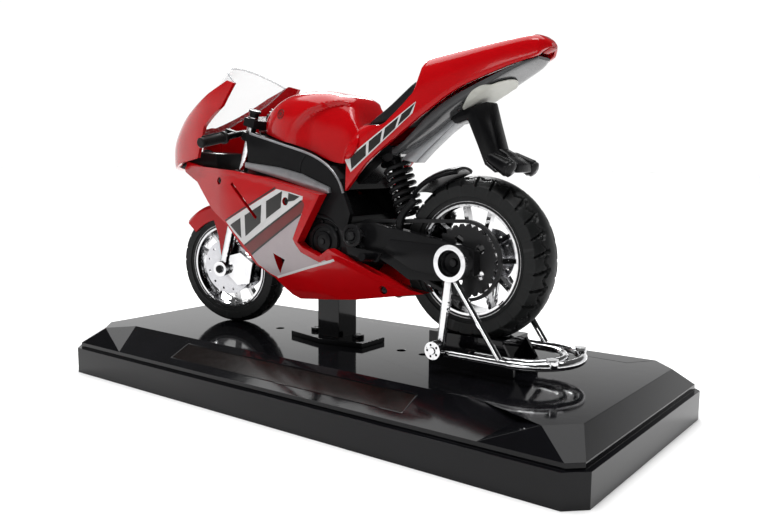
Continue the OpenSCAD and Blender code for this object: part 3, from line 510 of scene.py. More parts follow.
def sticker(outline, surface, lift, cell=0.8, cut=()):
    """Thin print on a surface that is given as a function from side_of. Past its edge the print is level."""
    latest = 0.0

    def depth(x, z):
        nonlocal latest
        y = surface(x, z)[0]
        if y is not None:
            latest = y
        return latest + lift
    return panel(outline, depth, lambda x, z: PRINT_THICK, cell, cut)


def on_surface(surface, x, z):
    """Matrix that stands a lathe on a surface at x, z, along its normal."""
    y, normal = surface(x, z)
    return facing((x, y, z), normal if normal.y > 0 else -normal)


# ---- camera, floor and lights

CAMERA_PLACE = (-125.5, 156.14, 58.77)
CAMERA_ANGLES = (-52.63, 7.57, 0.45)
LENS = 38.26
SENSOR = 36
FLOOR_HALF = 4000
FLOOR_Z = -0.02
MIDDLE = (0, 0, 40)


def aim(thing, place, target):
    """Puts a light at a place and turns it towards a target."""
    thing.location = Vector(place) * MM
    thing.rotation_mode = "QUATERNION"
    thing.rotation_quaternion = (Vector(target) - Vector(place)).to_track_quat("-Z", "Y")


def make_camera():
    """Camera low behind the left of the motorcycle, turned by yaw, pitch and roll."""
    yaw, pitch, roll = (radians(a) for a in CAMERA_ANGLES)
    ahead = Vector((cos(yaw) * cos(pitch), sin(yaw) * cos(pitch), -sin(pitch)))
    right = ahead.cross(Vector((0, 0, 1))).normalized()
    up = right.cross(ahead)
    right, up = (right * cos(roll) + up * sin(roll), up * cos(roll) - right * sin(roll))
    data = bpy.data.cameras.new("camera")
    data.lens = LENS
    data.sensor_width = SENSOR
    data.clip_start = 0.005
    camera = linked("camera", data)
    turn = Matrix((right, up, -ahead)).transposed().to_4x4()
    camera.matrix_world = Matrix.Translation(Vector(CAMERA_PLACE) * MM) @ turn
    scene.camera = camera


def make_floor():
    corners = [(x * FLOOR_HALF, y * FLOOR_HALF, FLOOR_Z) for x, y in ((-1, -1), (1, -1), (1, 1), (-1, 1))]
    floor = linked("floor", mesh_of(corners, [(0, 1, 2, 3)]))
    white = finish("floor", (0.94, 0.94, 0.94), 0.6, spread=0.01, patch=80, grain=2, bump=0.01)
    floor.data.materials.append(white)


def make_world():
    """Studio walls: bright low down on the far side, dim overhead and behind the camera."""
    world = bpy.data.worlds.new("studio")
    world.use_nodes = True
    tree = world.node_tree
    direction = node_of(tree, "TexCoord").outputs["Generated"]
    height = node_of(tree, "SeparateXYZ", Vector=direction).outputs["Z"]
    away = node_of(tree, "VectorMath", operation="DOT_PRODUCT", Vector=direction)
    away.inputs[1].default_value = (0.6, -0.8, 0)
    low_down = ranged(tree, height, (0.2, 0.36), (1.0, 0.1))
    far_side = ranged(tree, away.outputs["Value"], (-0.5, 0.4), (0.2, 1.0))
    both = node_of(tree, "Math", operation="MULTIPLY")
    tree.links.new(low_down, both.inputs[0])
    tree.links.new(far_side, both.inputs[1])
    feed(tree, tree.nodes["Background"].inputs["Color"], both.outputs["Value"])
    feed(tree, tree.nodes["Background"].inputs["Strength"], 1.04)
    scene.world = world


def make_light(name, place, size, power):
    data = bpy.data.lights.new(name, "AREA")
    data.shape = "RECTANGLE"
    data.size = size[0] * MM
    data.size_y = size[1] * MM
    data.energy = power
    aim(linked(name, data), place, MIDDLE)


def make_sun():
    """Wide soft light from overhead."""
    data = bpy.data.lights.new("sun", "SUN")
    data.energy = 3.3
    data.angle = radians(70)
    aim(linked("sun", data), (80, -60, 400), (0, 0, 0))


scene.view_settings.view_transform = "Standard"
make_camera()
make_floor()
make_world()
make_light("key", (-60, 120, 420), (160, 120), 0.8)
make_light("side", (-60, 420, 140), (260, 60), 0.22)
make_light("back", (240, -300, 300), (220, 90), 1.2)
make_sun()


# ---- CAD nodes that stay

NODE_ANGLE = 40
# How much each node's edges are rounded. A name without left or right stands for both.
ROUNDED = {
    0.35: ["display_base"],
    0.25: ["wheel_block", "support_post", "swingarm", "main_frame"],
    0.15: ["engine_block", "calliper", "hugger", "frame_strip", "upper_yoke", "steering_stem", "footpeg",
           "nameplate", "base_plate"],
    0.1: ["rear_rim", "front_rim", "fork_leg", "pivot_bolt", "rear_axle", "engine_cover", "clip_on",
          "stand_frame", "roller", "radiator", "fairing_screws", "post_screws", "front_fender"],
}
rounding = {name: width for width, names in ROUNDED.items() for name in names}


def dress_node(name, node, look):
    """Gives a CAD node its material, rounded edges and even shading, with its vertices left as they are."""
    node.data.materials.clear()
    node.data.materials.append(looks[look])
    if "custom_normal" in node.data.attributes:
        node.data.attributes.remove(node.data.attributes["custom_normal"])
    node.data.shade_smooth()
    weld = node.modifiers.new("weld", "WELD")
    weld.merge_threshold = 0.001 * MM
    width = rounding.get(name.removesuffix("_left").removesuffix("_right"))
    if width:
        flat = node.modifiers.new("flat", "DECIMATE")
        flat.decimate_type = "DISSOLVE"
        flat.angle_limit = radians(0.5)
        rounded(node, width, NODE_ANGLE)
    split = node.modifiers.new("split", "EDGE_SPLIT")
    split.split_angle = radians(15 if "base" in name else 30)
    even = node.modifiers.new("even", "WEIGHTED_NORMAL")
    even.keep_sharp = True


for part in frame["record"]["subparts"]:
    dress_node(part["node"], frame["nodes"][part["node"]], part["material_slot"])


# ---- tank, tail, seat and tray

# A station is low x, low z, crown x, crown z, half width, squareness and bow.
TANK = [[28.4, 65.5, 28.5, 66.2, 2.6, 0.8, 0], [27.4, 65.3, 27.8, 69.0, 5.0, 0.75, 0],
        [24, 64.7, 24.6, 72.0, 7.9, 0.7, 0], [18, 63.2, 18.6, 74.7, 9.7, 0.66, 0],
        [10, 61.1, 10, 75.3, 10.3, 0.64, 0], [3, 58.4, 3.4, 74.3, 10.5, 0.64, 0.4],
        [-1.4, 57.6, -1.4, 72.8, 10.6, 0.66, 1.6], [-3.4, 57.9, -4.3, 67.2, 10.4, 0.7, 3.4]]
TAIL = [[-3.4, 51.2, -3.9, 66.1, 10.0, 0.55, 0], [-9.5, 58, -9, 68.7, 9.6, 0.5, 0],
        [-16, 63, -15.4, 72.2, 9, 0.5, 0], [-19.4, 65.4, -18.9, 76.2, 8.7, 0.55, 0],
        [-21.4, 66.9, -19.8, 79.8, 8.5, 0.6, 0], [-24.4, 69, -22.6, 81.2, 8.2, 0.62, 0],
        [-32, 73.8, -31, 82.4, 7.3, 0.6, 0], [-42, 77.6, -41, 83.7, 5.8, 0.55, 0],
        [-48.2, 79.6, -47.2, 84.3, 4.3, 0.55, 0], [-49.6, 80.8, -49.4, 83.5, 3.4, 0.6, 0],
        [-50.7, 81.7, -50.6, 82.5, 1.4, 0.7, 0]]
KNEE_EDGE = [[14.4, 64.6], [13.4, 66.8], [9.4, 70.2], [3, 72.3], [-1.8, 72.2], [-5.6, 70.2], [-7.4, 67.2],
             [-6.6, 63.6], [-3.6, 60]]
KNEE = KNEE_EDGE + [[-3.4, 50], [16, 50]]
KNEE_DEPTH = 1.7
knee_line = curve_through(KNEE_EDGE, 4)
# Ledge of the tail that the saddle lies on, from the rear to the front
SHELF = [[-30, 81], [-23.8, 75.6], [-18.6, 70.8], [-13.8, 66.6], [-12.3, 66.3], [-6.5, 66.4], [-3, 66.2]]
# Saddle: x, height of its top and half width; piping round it: x and half width
SADDLE = [[-5.4, 66.7, 3.2], [-7.4, 67.6, 5.4], [-11.4, 69.9, 6.6], [-15.6, 72.9, 6.7], [-19.4, 75.9, 6.2],
          [-20.6, 76.6, 5.4]]
PIPING = [[-6, 4.1], [-8, 6], [-11.6, 6.9], [-15.6, 7], [-19, 6.6]]
# Tray: x, height of its middle, half width, height and squareness
TRAY = [[-13, 60.6, 4.6, 2.6, 0.6], [-17.6, 62.3, 6.4, 2.4, 0.55], [-24, 66.9, 7.2, 3.4, 0.45],
        [-30, 70.9, 6.9, 2.9, 0.4], [-36, 73.8, 6.6, 2.1, 0.4], [-42, 76.6, 6, 1.3, 0.42],
        [-46, 78.4, 4.9, 1, 0.5], [-48.4, 79.5, 2.8, 0.6, 0.6]]
# Pale strip under the tray: a painted reflection on the black underside of the tray
TRAY_SHEEN_STRIP = [[-13.2, 58.6], [-17, 61.8], [-20.6, 64.6], [-26.4, 67.6], [-28.8, 67.4], [-24.6, 64],
             [-20.4, 60.6], [-17.4, 57.8]]
LABEL_CENTRE = (-36.2, 0.3, 72.35)
LABEL_SLOPE = atan2(3.2, 6)
LABEL_RADIUS = 6.5
LABEL_THICK = 0.18
LABEL_RINGS = 7
TAIL_LAMP = [[-50.7, 81.4], [-48.9, 80.3], [-48.9, 81.3], [-50.5, 81.9]]
STRUT = [[-26.6, 68], [-30.2, 69.7], [-33, 70.3], [-36.6, 71.2], [-38, 66.5], [-39.8, 61], [-41.4, 60.2],
         [-43, 58.8], [-43, 57], [-38.6, 56], [-36.2, 57.6], [-34.2, 62], [-31.6, 67.4], [-28.6, 66.4]]
STRUT_FOOT = [[-42, 59.6], [-44.9, 57.8], [-44.9, 56], [-41.4, 56.2]]
INDICATOR_Y = 5.2
INDICATOR_LENS = [[0.01, -0.3], [1.7, -0.3], [1.7, 0.1], [1.2, 0.45], [0.01, 0.6]]


def arch(station, less, count):
    """Points of an arch from the left foot over the crown to the right foot, smaller by less all round."""
    low_x, low_z, crown_x, crown_z, half, square, bow = station
    points = []
    for i in range(count + 1):
        a = pi * i / count
        h = abs(sin(a)) ** square
        out = squarer(cos(a), square)
        x = low_x + (crown_x - low_x) * h - bow * 4 * h * (1 - h) * abs(out)
        points.append([x, out * (half - less), low_z + (crown_z - less - low_z) * h])
    return points


def arch_shell(stations, steps, thick, shape, count):
    """Shell over smooth arches, whose points are moved by the function shape."""
    rows = curve_through(stations, steps)
    outer, inner = ([[shape(p) for p in arch(row, less, count)] for row in rows] for less in (0.0, thick))
    return slab(outer, inner)


def with_knee_hollow(p):
    """Presses the side of the tank in where the rider's knee goes, less so towards its front and its top."""
    x, y, z = p
    if abs(y) < 3 or not inside(x, z, KNEE):
        return p
    deep = KNEE_DEPTH * smooth_step(0.0, 1.3, distance_to(x, z, knee_line))
    deep *= 1 - 0.7 * smooth_step(8, 15, x)
    return [x, y - copysign(deep * min(1.0, abs(y) / 8), y), z]


def with_ledge(p):
    """Cuts the front of the tail down to the ledge that carries the saddle."""
    x, y, z = p
    over = z - value_at(SHELF, x)
    return [x, y, z - over * smooth_step(-22.6, -20.6, x)] if over > 0 else p


def make_seat():
    """Padded saddle between the tank and the hump, which stands on the ledge of the tail and has a faint dip
    along its middle."""
    rings = []
    for x, top, half in curve_through(SADDLE, 5):
        low = value_at(SHELF, x) - 0.25
        ring = []
        for c, s in circle(32):
            out = squarer(c, 0.45)
            dip = 0.35 * exp(-(out / 0.35) ** 2) if s > 0 else 0.0
            ring.append([x, half * out, (low + top) / 2 + (top - low) / 2 * squarer(s, 0.55) - dip])
        rings.append(ring)
    return skin(rings, 60)


def make_piping():
    side = tube([[x, half, value_at(SHELF, x) + 0.15] for x, half in PIPING], 0.22, 8, 6)
    return joined([side, mirrored(side)])


def make_tray():
    """Flat-bottomed tray that closes the underside of the tail."""
    rows = curve_through(TRAY, 6)
    return skin([oval(x, z, half, tall / 2, square, 48) for x, z, half, tall, square in rows], 40)


def make_label():
    """Blank round label on the slope of the tray's floor, bent up a little at its sides."""
    def ring(radius, lift):
        points = []
        for c, s in circle(64):
            up = 1.1 * smooth_step(5.2, 6.8, abs(radius * s)) + lift
            along = radius * c
            offset = Vector((-along * cos(LABEL_SLOPE), radius * s, along * sin(LABEL_SLOPE) + up))
            points.append(Vector(LABEL_CENTRE) + offset)
        return points
    radii = [LABEL_RADIUS * (k + 1) / LABEL_RINGS for k in range(LABEL_RINGS)]
    return skin([ring(r, 0) for r in radii] + [ring(r, LABEL_THICK) for r in reversed(radii)], 50)


def make_bracket():
    """Strut, cross bar and lamp bodies of the bracket behind the rear wheel."""
    parts = [worked(prism(STRUT, -2.4, 2.4), bevel=0.5)]
    for side, _ in SIDES:
        y = side * INDICATOR_Y
        parts.append(tube([[-40.6, side, 57.8], [-41.4, side * 3, 57.9], [-42, side * 5, 57.8]], 1.15))
        body = [[-39.4, y, 59.2], [-41.2, y, 58.2], [-43.6, y, 57]]
        parts.append(tube(body, lambda share: 1.3 + 0.6 * share, 20))
        parts.append(turned(INDICATOR_LENS, 28, facing((-44.3, y, 56.7), (-0.9, 0, -0.44))))
    parts.append(worked(prism(STRUT_FOOT, -3, 3), bevel=0.4))
    return joined(parts)


tank = worked(arch_shell(TANK, 9, 0.9, with_knee_hollow, 64), bevel=0.12)
tail = worked(arch_shell(TAIL, 8, 1.1, with_ledge, 56), bevel=0.12)
piece("tank_shell", tank, "root", "red_paint", ["fuel_tank"])
piece("tail_shell", tail, "root", "red_paint", ["tail_cowl"])
seat = piece("seat_pad", worked(make_seat(), bevel=0.2), "root", "seat_black", ["seat"])
piece("seat_piping", make_piping(), "root", "seat_black")
# the tray's grey colour is painted sheen on black plastic
piece("tail_tray", make_tray(), "root", "tray_painted_sheen", ["under_tray"])
# grey strip painted as the reflection on the tray's underside
piece("tray_painted_reflection", worked(prism(TRAY_SHEEN_STRIP, -2.6, 1.4), bevel=0.3), "root", "frame_grey")
piece("blank_label", make_label(), "root", "label_cream", ["round_label"])
piece("tail_lamp_lens", worked(prism(TAIL_LAMP, -1.6, 1.6), bevel=0.2), "root", "lamp_red", ["tail_lamp"])
piece("bracket_and_lamps", make_bracket(), nodes=["plate_bracket"])


# ---- side fairings and their stripes

FAIRING = [[60.4, 58.2], [58, 57.6], [47, 56.2], [32, 55.5], [20, 54], [1, 50.3], [5, 44], [8.6, 38.6],
           [7, 37.4], [1.8, 35.6], [-1.2, 37.6], [-20.6, 29.4], [-24.4, 28.6], [-6, 25.4], [13, 23.4],
           [15, 24.4], [18.6, 28.7], [24, 31.6], [34, 41.6], [41.6, 45.2], [50, 52], [58, 54.6]]
RAISED_EDGE = FAIRING[1:12]
# How far out the fairing stands at a height: heights and distances
SECTION = [[22, 7], [27, 10.4], [32, 12.5], [38, 13.4], [46, 13.8], [54, 13.4], [60, 11.4]]
SECTION_FOOT = 20
SECTION_STEP = 0.25
SECTION_COUNT = 170
section_curve = curve_through(SECTION, 12)
section = [value_at(section_curve, SECTION_FOOT + SECTION_STEP * k) for k in range(SECTION_COUNT)]
BELLY_FOLD = [[-3, 35.2], [18.6, 28.6]]
BELLY_WIDTH = 12.8
BELLY_LEAN = 0.399
EDGE_HEIGHT = 0.3
EDGE_FALL = (0.75, 1.2)
TURN_X = 34
TURN_BEND = 4
TURN_LEAN = tan(radians(15))
SCREWS = [[37.4, 52.7], [12.4, 48.3], [-14, 28.6]]
SCREW_HOLE = [[0.01, -12], [1.0, -12], [1.0, 12], [0.01, 12]]
SCREW_HEAD = [[0.01, -0.6], [0.85, -0.6], [0.85, -0.05], [0.65, 0.15], [0.2, 0.22], [0.2, 0], [0.01, 0]]
SLIT = [[31.5, 52.6], [32.1, 51.9], [22.9, 43.4], [22.2, 44]]
VENT = [[17.4, 35.2], [13.5, 33.8], [16.2, 30]]
# Front corners of the band, of the stripe under it and of the pale field under that
BAND_FRONT = [34.1, 42.2]
STRIPE_FRONT = [27.5, 36.4]
PALE_FRONT = [25.2, 34.2]
BAND = [BAND_FRONT, [15.4, 51.2], [11, 50.6], [6.6, 49.7], [6.7, 48.9], STRIPE_FRONT]
STRIPE = [STRIPE_FRONT, [6.7, 48.7], [6.1, 47.8], [6.8, 45.8], PALE_FRONT]
PALE = [PALE_FRONT, [6.9, 45.6], [10.3, 39.2], [7.9, 36.1], [2.2, 34.1], [0.4, 34.8], [-1.6, 34.3],
        [17.4, 28.9], [19.6, 29.6], [23.4, 31.8]]
BLOCKS = [[[32.4, 41.4], [28.3, 43.5], [28.4, 38.2]],
          [[26.7, 44.2], [20.6, 47.2], [21, 42.6], [26.8, 38.8]],
          [[18.9, 48.1], [13.4, 50.8], [13.9, 46.7], [19, 43.7]],
          [[11.3, 50.4], [7.6, 49.6], [9.4, 48.6], [11.5, 48.2]]]
# Lines along the edges of the prints: both ends, half width and look
PRINTED_LINES = [([34.4, 42.4], [15.8, 51.5], 0.2, "print_dark"),
                 (STRIPE_FRONT, [7, 48.6], 0.22, "print_dark"),
                 (PALE_FRONT, [7.2, 45.4], 0.22, "print_dark"),
                 ([17.6, 28.9], [-2.4, 35], 0.28, "print_white")]
# Stripe on the tail: its upper and lower edge from the front to the rear, and where its blocks begin and end
TAIL_TOP = [[-3.2, 58.4], [-22.2, 71.3]]
TAIL_LOW = [[-5, 55.6], [-21.4, 68.8]]
TAIL_BLOCKS = [(0.02, 0.26), (0.3, 0.49), (0.53, 0.72), (0.76, 0.94)]
BLOCK_LEAN = 0.06
BLOCK_MARGIN = 0.12
# How far the prints stand off the surface: the lowest layer, and the blocks and lines on it
UNDER, OVER, LINE_OVER = 0.03, 0.06, 0.07


def turned_in(x):
    """How far the front of the fairing is turned in at x. It bends inwards around TURN_X."""
    past = x - TURN_X
    if past < -TURN_BEND:
        return 0.0
    if past > TURN_BEND:
        return TURN_LEAN * past
    return TURN_LEAN * (past + TURN_BEND) ** 2 / (4 * TURN_BEND)


def fairing_depth(x, z):
    """How far out the fairing stands: a section that changes with height, a folded belly, a raised edge and a
    turned-in nose."""
    row = int((z - SECTION_FOOT) / SECTION_STEP)
    (ax, az), (bx, bz) = BELLY_FOLD
    below = az + (bz - az) * (x - ax) / (bx - ax) - z
    y = min(section[min(SECTION_COUNT - 1, max(0, row))], BELLY_WIDTH - BELLY_LEAN * below)
    edge = 1 - smooth_step(*EDGE_FALL, distance_to(x, z, RAISED_EDGE))
    return y + EDGE_HEIGHT * edge - turned_in(x)


def fairing_thick(x, z):
    """Thick at the rear, thin at the nose and low down."""
    return 2.6 - 1.5 * smooth_step(14, 26, x) - 1.1 * smooth_step(34, 29, z) * smooth_step(2, 8, x)


def openings():
    """Solids that cut the screw recesses, the slit and the vent."""
    screw_holes = [turned(SCREW_HOLE, 32, y_axis(x, 16, z)) for x, z in SCREWS]
    return screw_holes + [prism(outline, 8, 30) for outline in (SLIT, VENT)]


def make_screws(surface, x, z):
    """Screw heads at the same place on both sides."""
    left = turned(SCREW_HEAD, 28, facing((x, surface(x, z)[0] - 0.5, z), (0, 1, 0)))
    return joined([left, mirrored(left)])


def both_sides(mesh, look):
    """Adds a print and its mirror image to the prints of one look."""
    prints.setdefault(look, []).extend([mesh, mirrored(mesh)])


def printed(outline, look, lift):
    """Adds a print on the fairing, with the fairing's openings cut out of it."""
    both_sides(sticker(outline, fairing_side, lift, 0.9, openings()), look)


def print_fairing():
    """Band of blocks, stripe and pale field, with lines along their edges."""
    printed(BAND, "print_white", UNDER)
    for outline in BLOCKS:
        printed(outline, "print_dark", OVER)
    printed(STRIPE, "print_maroon", UNDER)
    printed(PALE, "print_pale", UNDER)
    for start, end, half, look in PRINTED_LINES:
        printed(strip_along(start, end, half), look, LINE_OVER)


def print_tail(surface):
    """White strip with leaning dark blocks along the tail."""
    both_sides(sticker([*TAIL_TOP, *reversed(TAIL_LOW)], surface, UNDER), "print_white")
    for front, rear in TAIL_BLOCKS:
        outline = [between(*TAIL_TOP, front + BLOCK_LEAN), between(*TAIL_TOP, rear + BLOCK_LEAN),
                   between(*TAIL_LOW, rear), between(*TAIL_LOW, front)]
        block = [between(outline[k], outline[3 - k], BLOCK_MARGIN) for k in range(4)]
        both_sides(sticker(block, surface, OVER), "print_dark")


prints = {}
fairing = panel(FAIRING, fairing_depth, fairing_thick, cut=openings(), bevel=0.14)
fairing_side = side_of(panel(FAIRING, fairing_depth, fairing_thick))
piece("fairing_shell_left", fairing, "root", "red_paint", ["fairing_left"])
piece("fairing_shell_right", mirrored(fairing), "root", "red_paint", ["fairing_right"])
for number, (x, z) in enumerate(SCREWS, 1):
    piece(f"fairing_screw_{number}", make_screws(fairing_side, x, z),
          nodes=["fairing_screws"] if number == 1 else [])
print_fairing()
print_tail(side_of(tail))


# ---- nose, lamps and screen

# A station is x, half width, lowest z, highest z and squareness.
NOSE = [[66, 2.6, 54.4, 60.4, 0.8], [63.6, 6, 52, 65, 0.75], [58, 9, 49, 70.6, 0.72], [50, 11.4, 45, 78, 0.7],
        [42, 12.8, 40, 84, 0.7], [30, 13.6, 34, 90, 0.7]]
NOSE_TIP_X = 59
COWL = [[67, 54.6], [66.6, 61], [60.6, 66.4], [52, 70.6], [42.4, 75.4], [34.6, 78.4], [31.6, 77.6],
        [35.6, 72], [39.6, 69.4], [43, 66.8], [44.4, 63], [46.5, 58.6], [55, 57.4]]
COWL_HALF = 14
LAMP = [[67, 56], [67, 61], [60.2, 62.4], [59.4, 58.6]]
LAMP_INSIDE, LAMP_OUTSIDE = 1.4, 5
BOWL = [[0.4, 0], [1.0, 0.3], [1.5, 1.2], [1.8, 2.4], [2.0, 2.4], [1.8, 0.9], [1.1, -0.2], [0.4, -0.5]]
BULB = [[0.01, -0.1], [0.55, -0.1], [0.5, 1.0], [0.01, 1.4]]
DASH = [[62.6, 56], [61.4, 60.4], [52, 60.2], [45.6, 59.8], [45, 54.4], [57, 54.8]]
# A station is x, z, half width, and how far its ends are swept back and down.
SCREEN = [[60.6, 66.5, 4.6, 2.6, 1.4], [55.5, 71.4, 6.8, 5, 2.2], [49.6, 77.6, 8.4, 8, 4.4],
          [43.6, 83, 9.4, 9, 5]]
SCREEN_COLUMNS = 40
SCREEN_BEND = 0.86
SCREEN_LEAN = 0.7


def nose_solid(less):
    """Rounded body of the nose, smaller by less on every side."""
    rings = []
    for x, half, low, top, square in curve_through(NOSE, 7):
        back = less if x > NOSE_TIP_X else 0
        rings.append(oval(x - back, (low + top) / 2, half - less, (top - low) / 2 - less, square, 72))
    return skin(rings)


def lamp_prisms():
    """Solids over both headlamps, as seen from the side."""
    return [prism(LAMP, side * LAMP_INSIDE, side * LAMP_OUTSIDE) for side, _ in SIDES]


def nose_shell(keep, thick, cut, bevel):
    """Shell of the nose of this thickness, inside keep and outside the solids in cut."""
    return worked(nose_solid(0), keep=keep, cut=[nose_solid(thick)] + cut, bevel=bevel)


def make_bowl(side):
    """Reflector bowl of a headlamp with its bulb."""
    place = facing((58.2, side * 3.2, 58.9), (1, 0, 0.1))
    return joined([turned(BOWL, 40, place), turned(BULB, 20, place)])


def make_screen():
    """Clear screen bent round the rider's view, and the thicker bars that edge it."""
    def row(station, less):
        x, z, half, back, down = station
        made = []
        for i in range(SCREEN_COLUMNS + 1):
            a = 2 * i / SCREEN_COLUMNS - 1
            bent = (1 - sqrt(1 - SCREEN_BEND * a * a)) / (1 - sqrt(1 - SCREEN_BEND))
            made.append([x - bent * back - less * SCREEN_LEAN, a * half * (1 - 0.05 * less),
                         z - bent * down - less * SCREEN_LEAN])
        return made
    rows = curve_through(SCREEN, 8)
    middle = [row(station, 0.3) for station in rows]
    edges = [middle[-1][::4], [points[0] for points in middle[::4]], [points[-1] for points in middle[::4]]]
    shell = slab([row(station, 0.05) for station in rows], [row(station, 0.6) for station in rows])
    return shell, joined([tube(edge, 0.2, 8, 4) for edge in edges], 60)


cowl = nose_shell(prism(COWL, -COWL_HALF, COWL_HALF), 1, lamp_prisms(), 0.12)
lenses = joined([nose_shell(lamp, 0.7, [], 0.08) for lamp in lamp_prisms()])
piece("nose_shell", cowl, "root", "red_paint", ["nose_cowl"])
piece("lamp_lenses", lenses, "root", "clear_plastic", ["headlamps"])
pair("lamp_bowl", make_bowl)
piece("cockpit_panel", worked(prism(DASH, -6.4, 6.4), bevel=0.5))
screen, screen_edges = make_screen()
piece("clear_screen", screen, "root", "clear_plastic", ["windscreen"])
piece("clear_screen_edge", screen_edges, "root", "clear_edge")


# ---- tyres, rims and shock

STEPS_PER_BLOCK = 14
TREAD_COLUMNS = 32
COIL_TURNS = 6.5
COIL_STEPS = 14
COIL_LENGTH = 10.4
COIL_FOOT = 1.8
COIL_RADIUS = 3.0
SHOCK_TOP = Vector((-10, 0, 60))
SHOCK_LOW = Vector((-15.4, 0, 45.6))
shock_axis = (SHOCK_TOP - SHOCK_LOW).normalized()


def tyre_profile(radius, width, rim_radius):
    """Closed outline of a tyre, as [radius, distance from the middle], and the radius of its shoulder."""
    half = width / 2
    crown = 0.72 * width
    tread = []
    for i in range(TREAD_COLUMNS + 1):
        y = -half + width * i / TREAD_COLUMNS
        tread.append([radius - crown + sqrt(crown * crown - y * y), y])
    shoulder = radius - 0.36 * width
    inner = rim_radius - 0.9
    wall = [[shoulder - 0.8, half], [(shoulder + inner) / 2, half * 0.985], [inner + 0.9, half * 0.93],
            [inner + 0.1, half * 0.9]]
    return tread + wall + [[r, -y] for r, y in reversed(wall)], shoulder


def groove(turn, y, width):
    """How deep the tread is cut, from 0 to 1: staggered slanted grooves on both shoulders and two zigzag ones
    between. Turn counts the blocks round the tyre."""
    lean = turn + 0.5 * (y > 0) + 0.1 * abs(y)
    across = abs(lean % 1.0 - 0.5)
    zigzag = abs(abs(y) - 0.24 * width - 0.05 * width * sin(2 * pi * turn))
    slanted = (1 - smooth_step(0.03, 0.08, across)) * smooth_step(0.13 * width, 0.17 * width, abs(y))
    fading = 1 - 0.5 * smooth_step(0.46 * width, 0.5 * width, abs(y))
    return max(slanted, 1 - smooth_step(0.12, 0.3, zigzag)) * fading


def make_tyre(radius, width, rim_radius, blocks, depth):
    """Tyre whose tread is cut into blocks."""
    profile, shoulder = tyre_profile(radius, width, rim_radius)
    rings = []
    for s, (c, n) in enumerate(circle(blocks * STEPS_PER_BLOCK)):
        ring = []
        for r, y in profile:
            if r > shoulder - 0.1:
                r -= depth * groove(s / STEPS_PER_BLOCK, y, width)
            ring.append([r * c, r * n, y])
        rings.append(ring)
    return skin(rings, 28, around=True)


def joint_place(joint):
    return Vector(joints[joint]["pos_m"]) / MM


def wheel_place(joint):
    """Turns the Z axis to a wheel's axle and moves it to the wheel's centre."""
    return facing(joint_place(joint), joints[joint]["axis"])


def rim_groove(node, joint, low, high):
    """Dark painted line round both sides of a rim, between two radii."""
    rim = placed(frame["nodes"][node].data.copy(), wheel_place(joint).inverted())
    reach = max(abs(v.co.z) / MM for v in rim.vertices if low - 0.8 < v.co.xy.length / MM < high + 0.8)
    line = [[low, reach - 0.3], [high, reach - 0.3], [high, reach + 0.05], [low, reach + 0.05]]
    other = [[r, -h] for r, h in line]
    return placed(joined([lathe(line, 72), lathe(other, 72)]), wheel_place(joint))


def make_coil():
    """Coil wound round the shock, from its lower seat to its upper one."""
    side = shock_axis.orthogonal().normalized()
    across = shock_axis.cross(side)
    count = int(COIL_TURNS * COIL_STEPS)
    path = []
    for k in range(count + 1):
        a = 2 * pi * k / COIL_STEPS
        middle = SHOCK_LOW + shock_axis * (COIL_FOOT + COIL_LENGTH * k / count)
        path.append(middle + (side * cos(a) + across * sin(a)) * COIL_RADIUS)
    return tube(path, 0.55, 8, 1)


front_tyre = make_tyre(radius=16.2, width=7, rim_radius=12.9, blocks=26, depth=0.55)
rear_tyre = make_tyre(radius=18.4, width=10, rim_radius=13.9, blocks=28, depth=0.7)
piece("front_tyre_treaded", placed(front_tyre, wheel_place("front_wheel_spin")), "front_wheel", "tyre_rubber",
      ["front_tyre"])
piece("rear_tyre_treaded", placed(rear_tyre, wheel_place("rear_wheel_spin")), "rear_wheel", "tyre_rubber",
      ["rear_tyre"])
piece("rear_rim_line", rim_groove("rear_rim", "rear_wheel_spin", 12.35, 12.85), "rear_wheel")
piece("front_rim_line", rim_groove("front_rim", "front_wheel_spin", 11.4, 11.8), "front_wheel")
coil = piece("shock_coil", make_coil(), nodes=["shock_spring"])
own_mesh(coil)


# ---- grips, fork ends and stand

RAKE = radians(17)
STEER = radians(12)
FORK_OFFSET = 2.5
FORK_AXLE = (45, 0, 28.7)
GRIP_FLANGE = [[0.8, 6.6], [1.6, 6.6], [1.6, 7.3], [1.15, 7.5]]
GRIP_RIB = [[1.25, 0], [1.25, 0.3], [1.1, 0.4], [1.1, 0.6]]
RIB_START = 7.8
RIB_SPACING = 0.7
STEM_NUT = [[0.01, 0], [1.9, 0], [2.0, 0.3], [2.0, 1.2], [1.4, 1.5], [1.4, 2.2], [0.01, 2.4]]
FORK_CAP = [[0.01, -1.9], [1.55, -1.9], [1.55, 0], [1.2, 0.2], [1.3, 1.5], [1.6, 1.6], [1.6, 2.2],
            [0.01, 2.3]]
AXLE_SOCKET = [[0.01, 0], [1.05, 0], [1.05, 0.12], [0.75, 0.16], [0.01, 0.16]]
AXLE_CUP = [[0.01, 0], [2.86, 0], [2.86, 1.5], [2.5, 1.6], [2.1, 1.0], [1.0, 0.8], [0.8, 1.2], [0.01, 1.2]]
RAIL_Z = 16.9
RAIL_BEND = 7.6
RAIL_BEND_X = -47.4
RAIL_ENDS_X = (-37, -47)


def on_fork(point=(0, 0, 0)):
    """Matrix of the front end at a point of it, with the axle at the origin and Z along the fork."""
    turn = Matrix.Rotation(-RAKE, 4, "Y") @ Matrix.Translation((-FORK_OFFSET, 0, 0))
    turn = turn @ Matrix.Rotation(STEER, 4, "Z") @ Matrix.Translation((FORK_OFFSET, 0, 0))
    return Matrix.Translation(FORK_AXLE) @ turn @ Matrix.Translation(point)


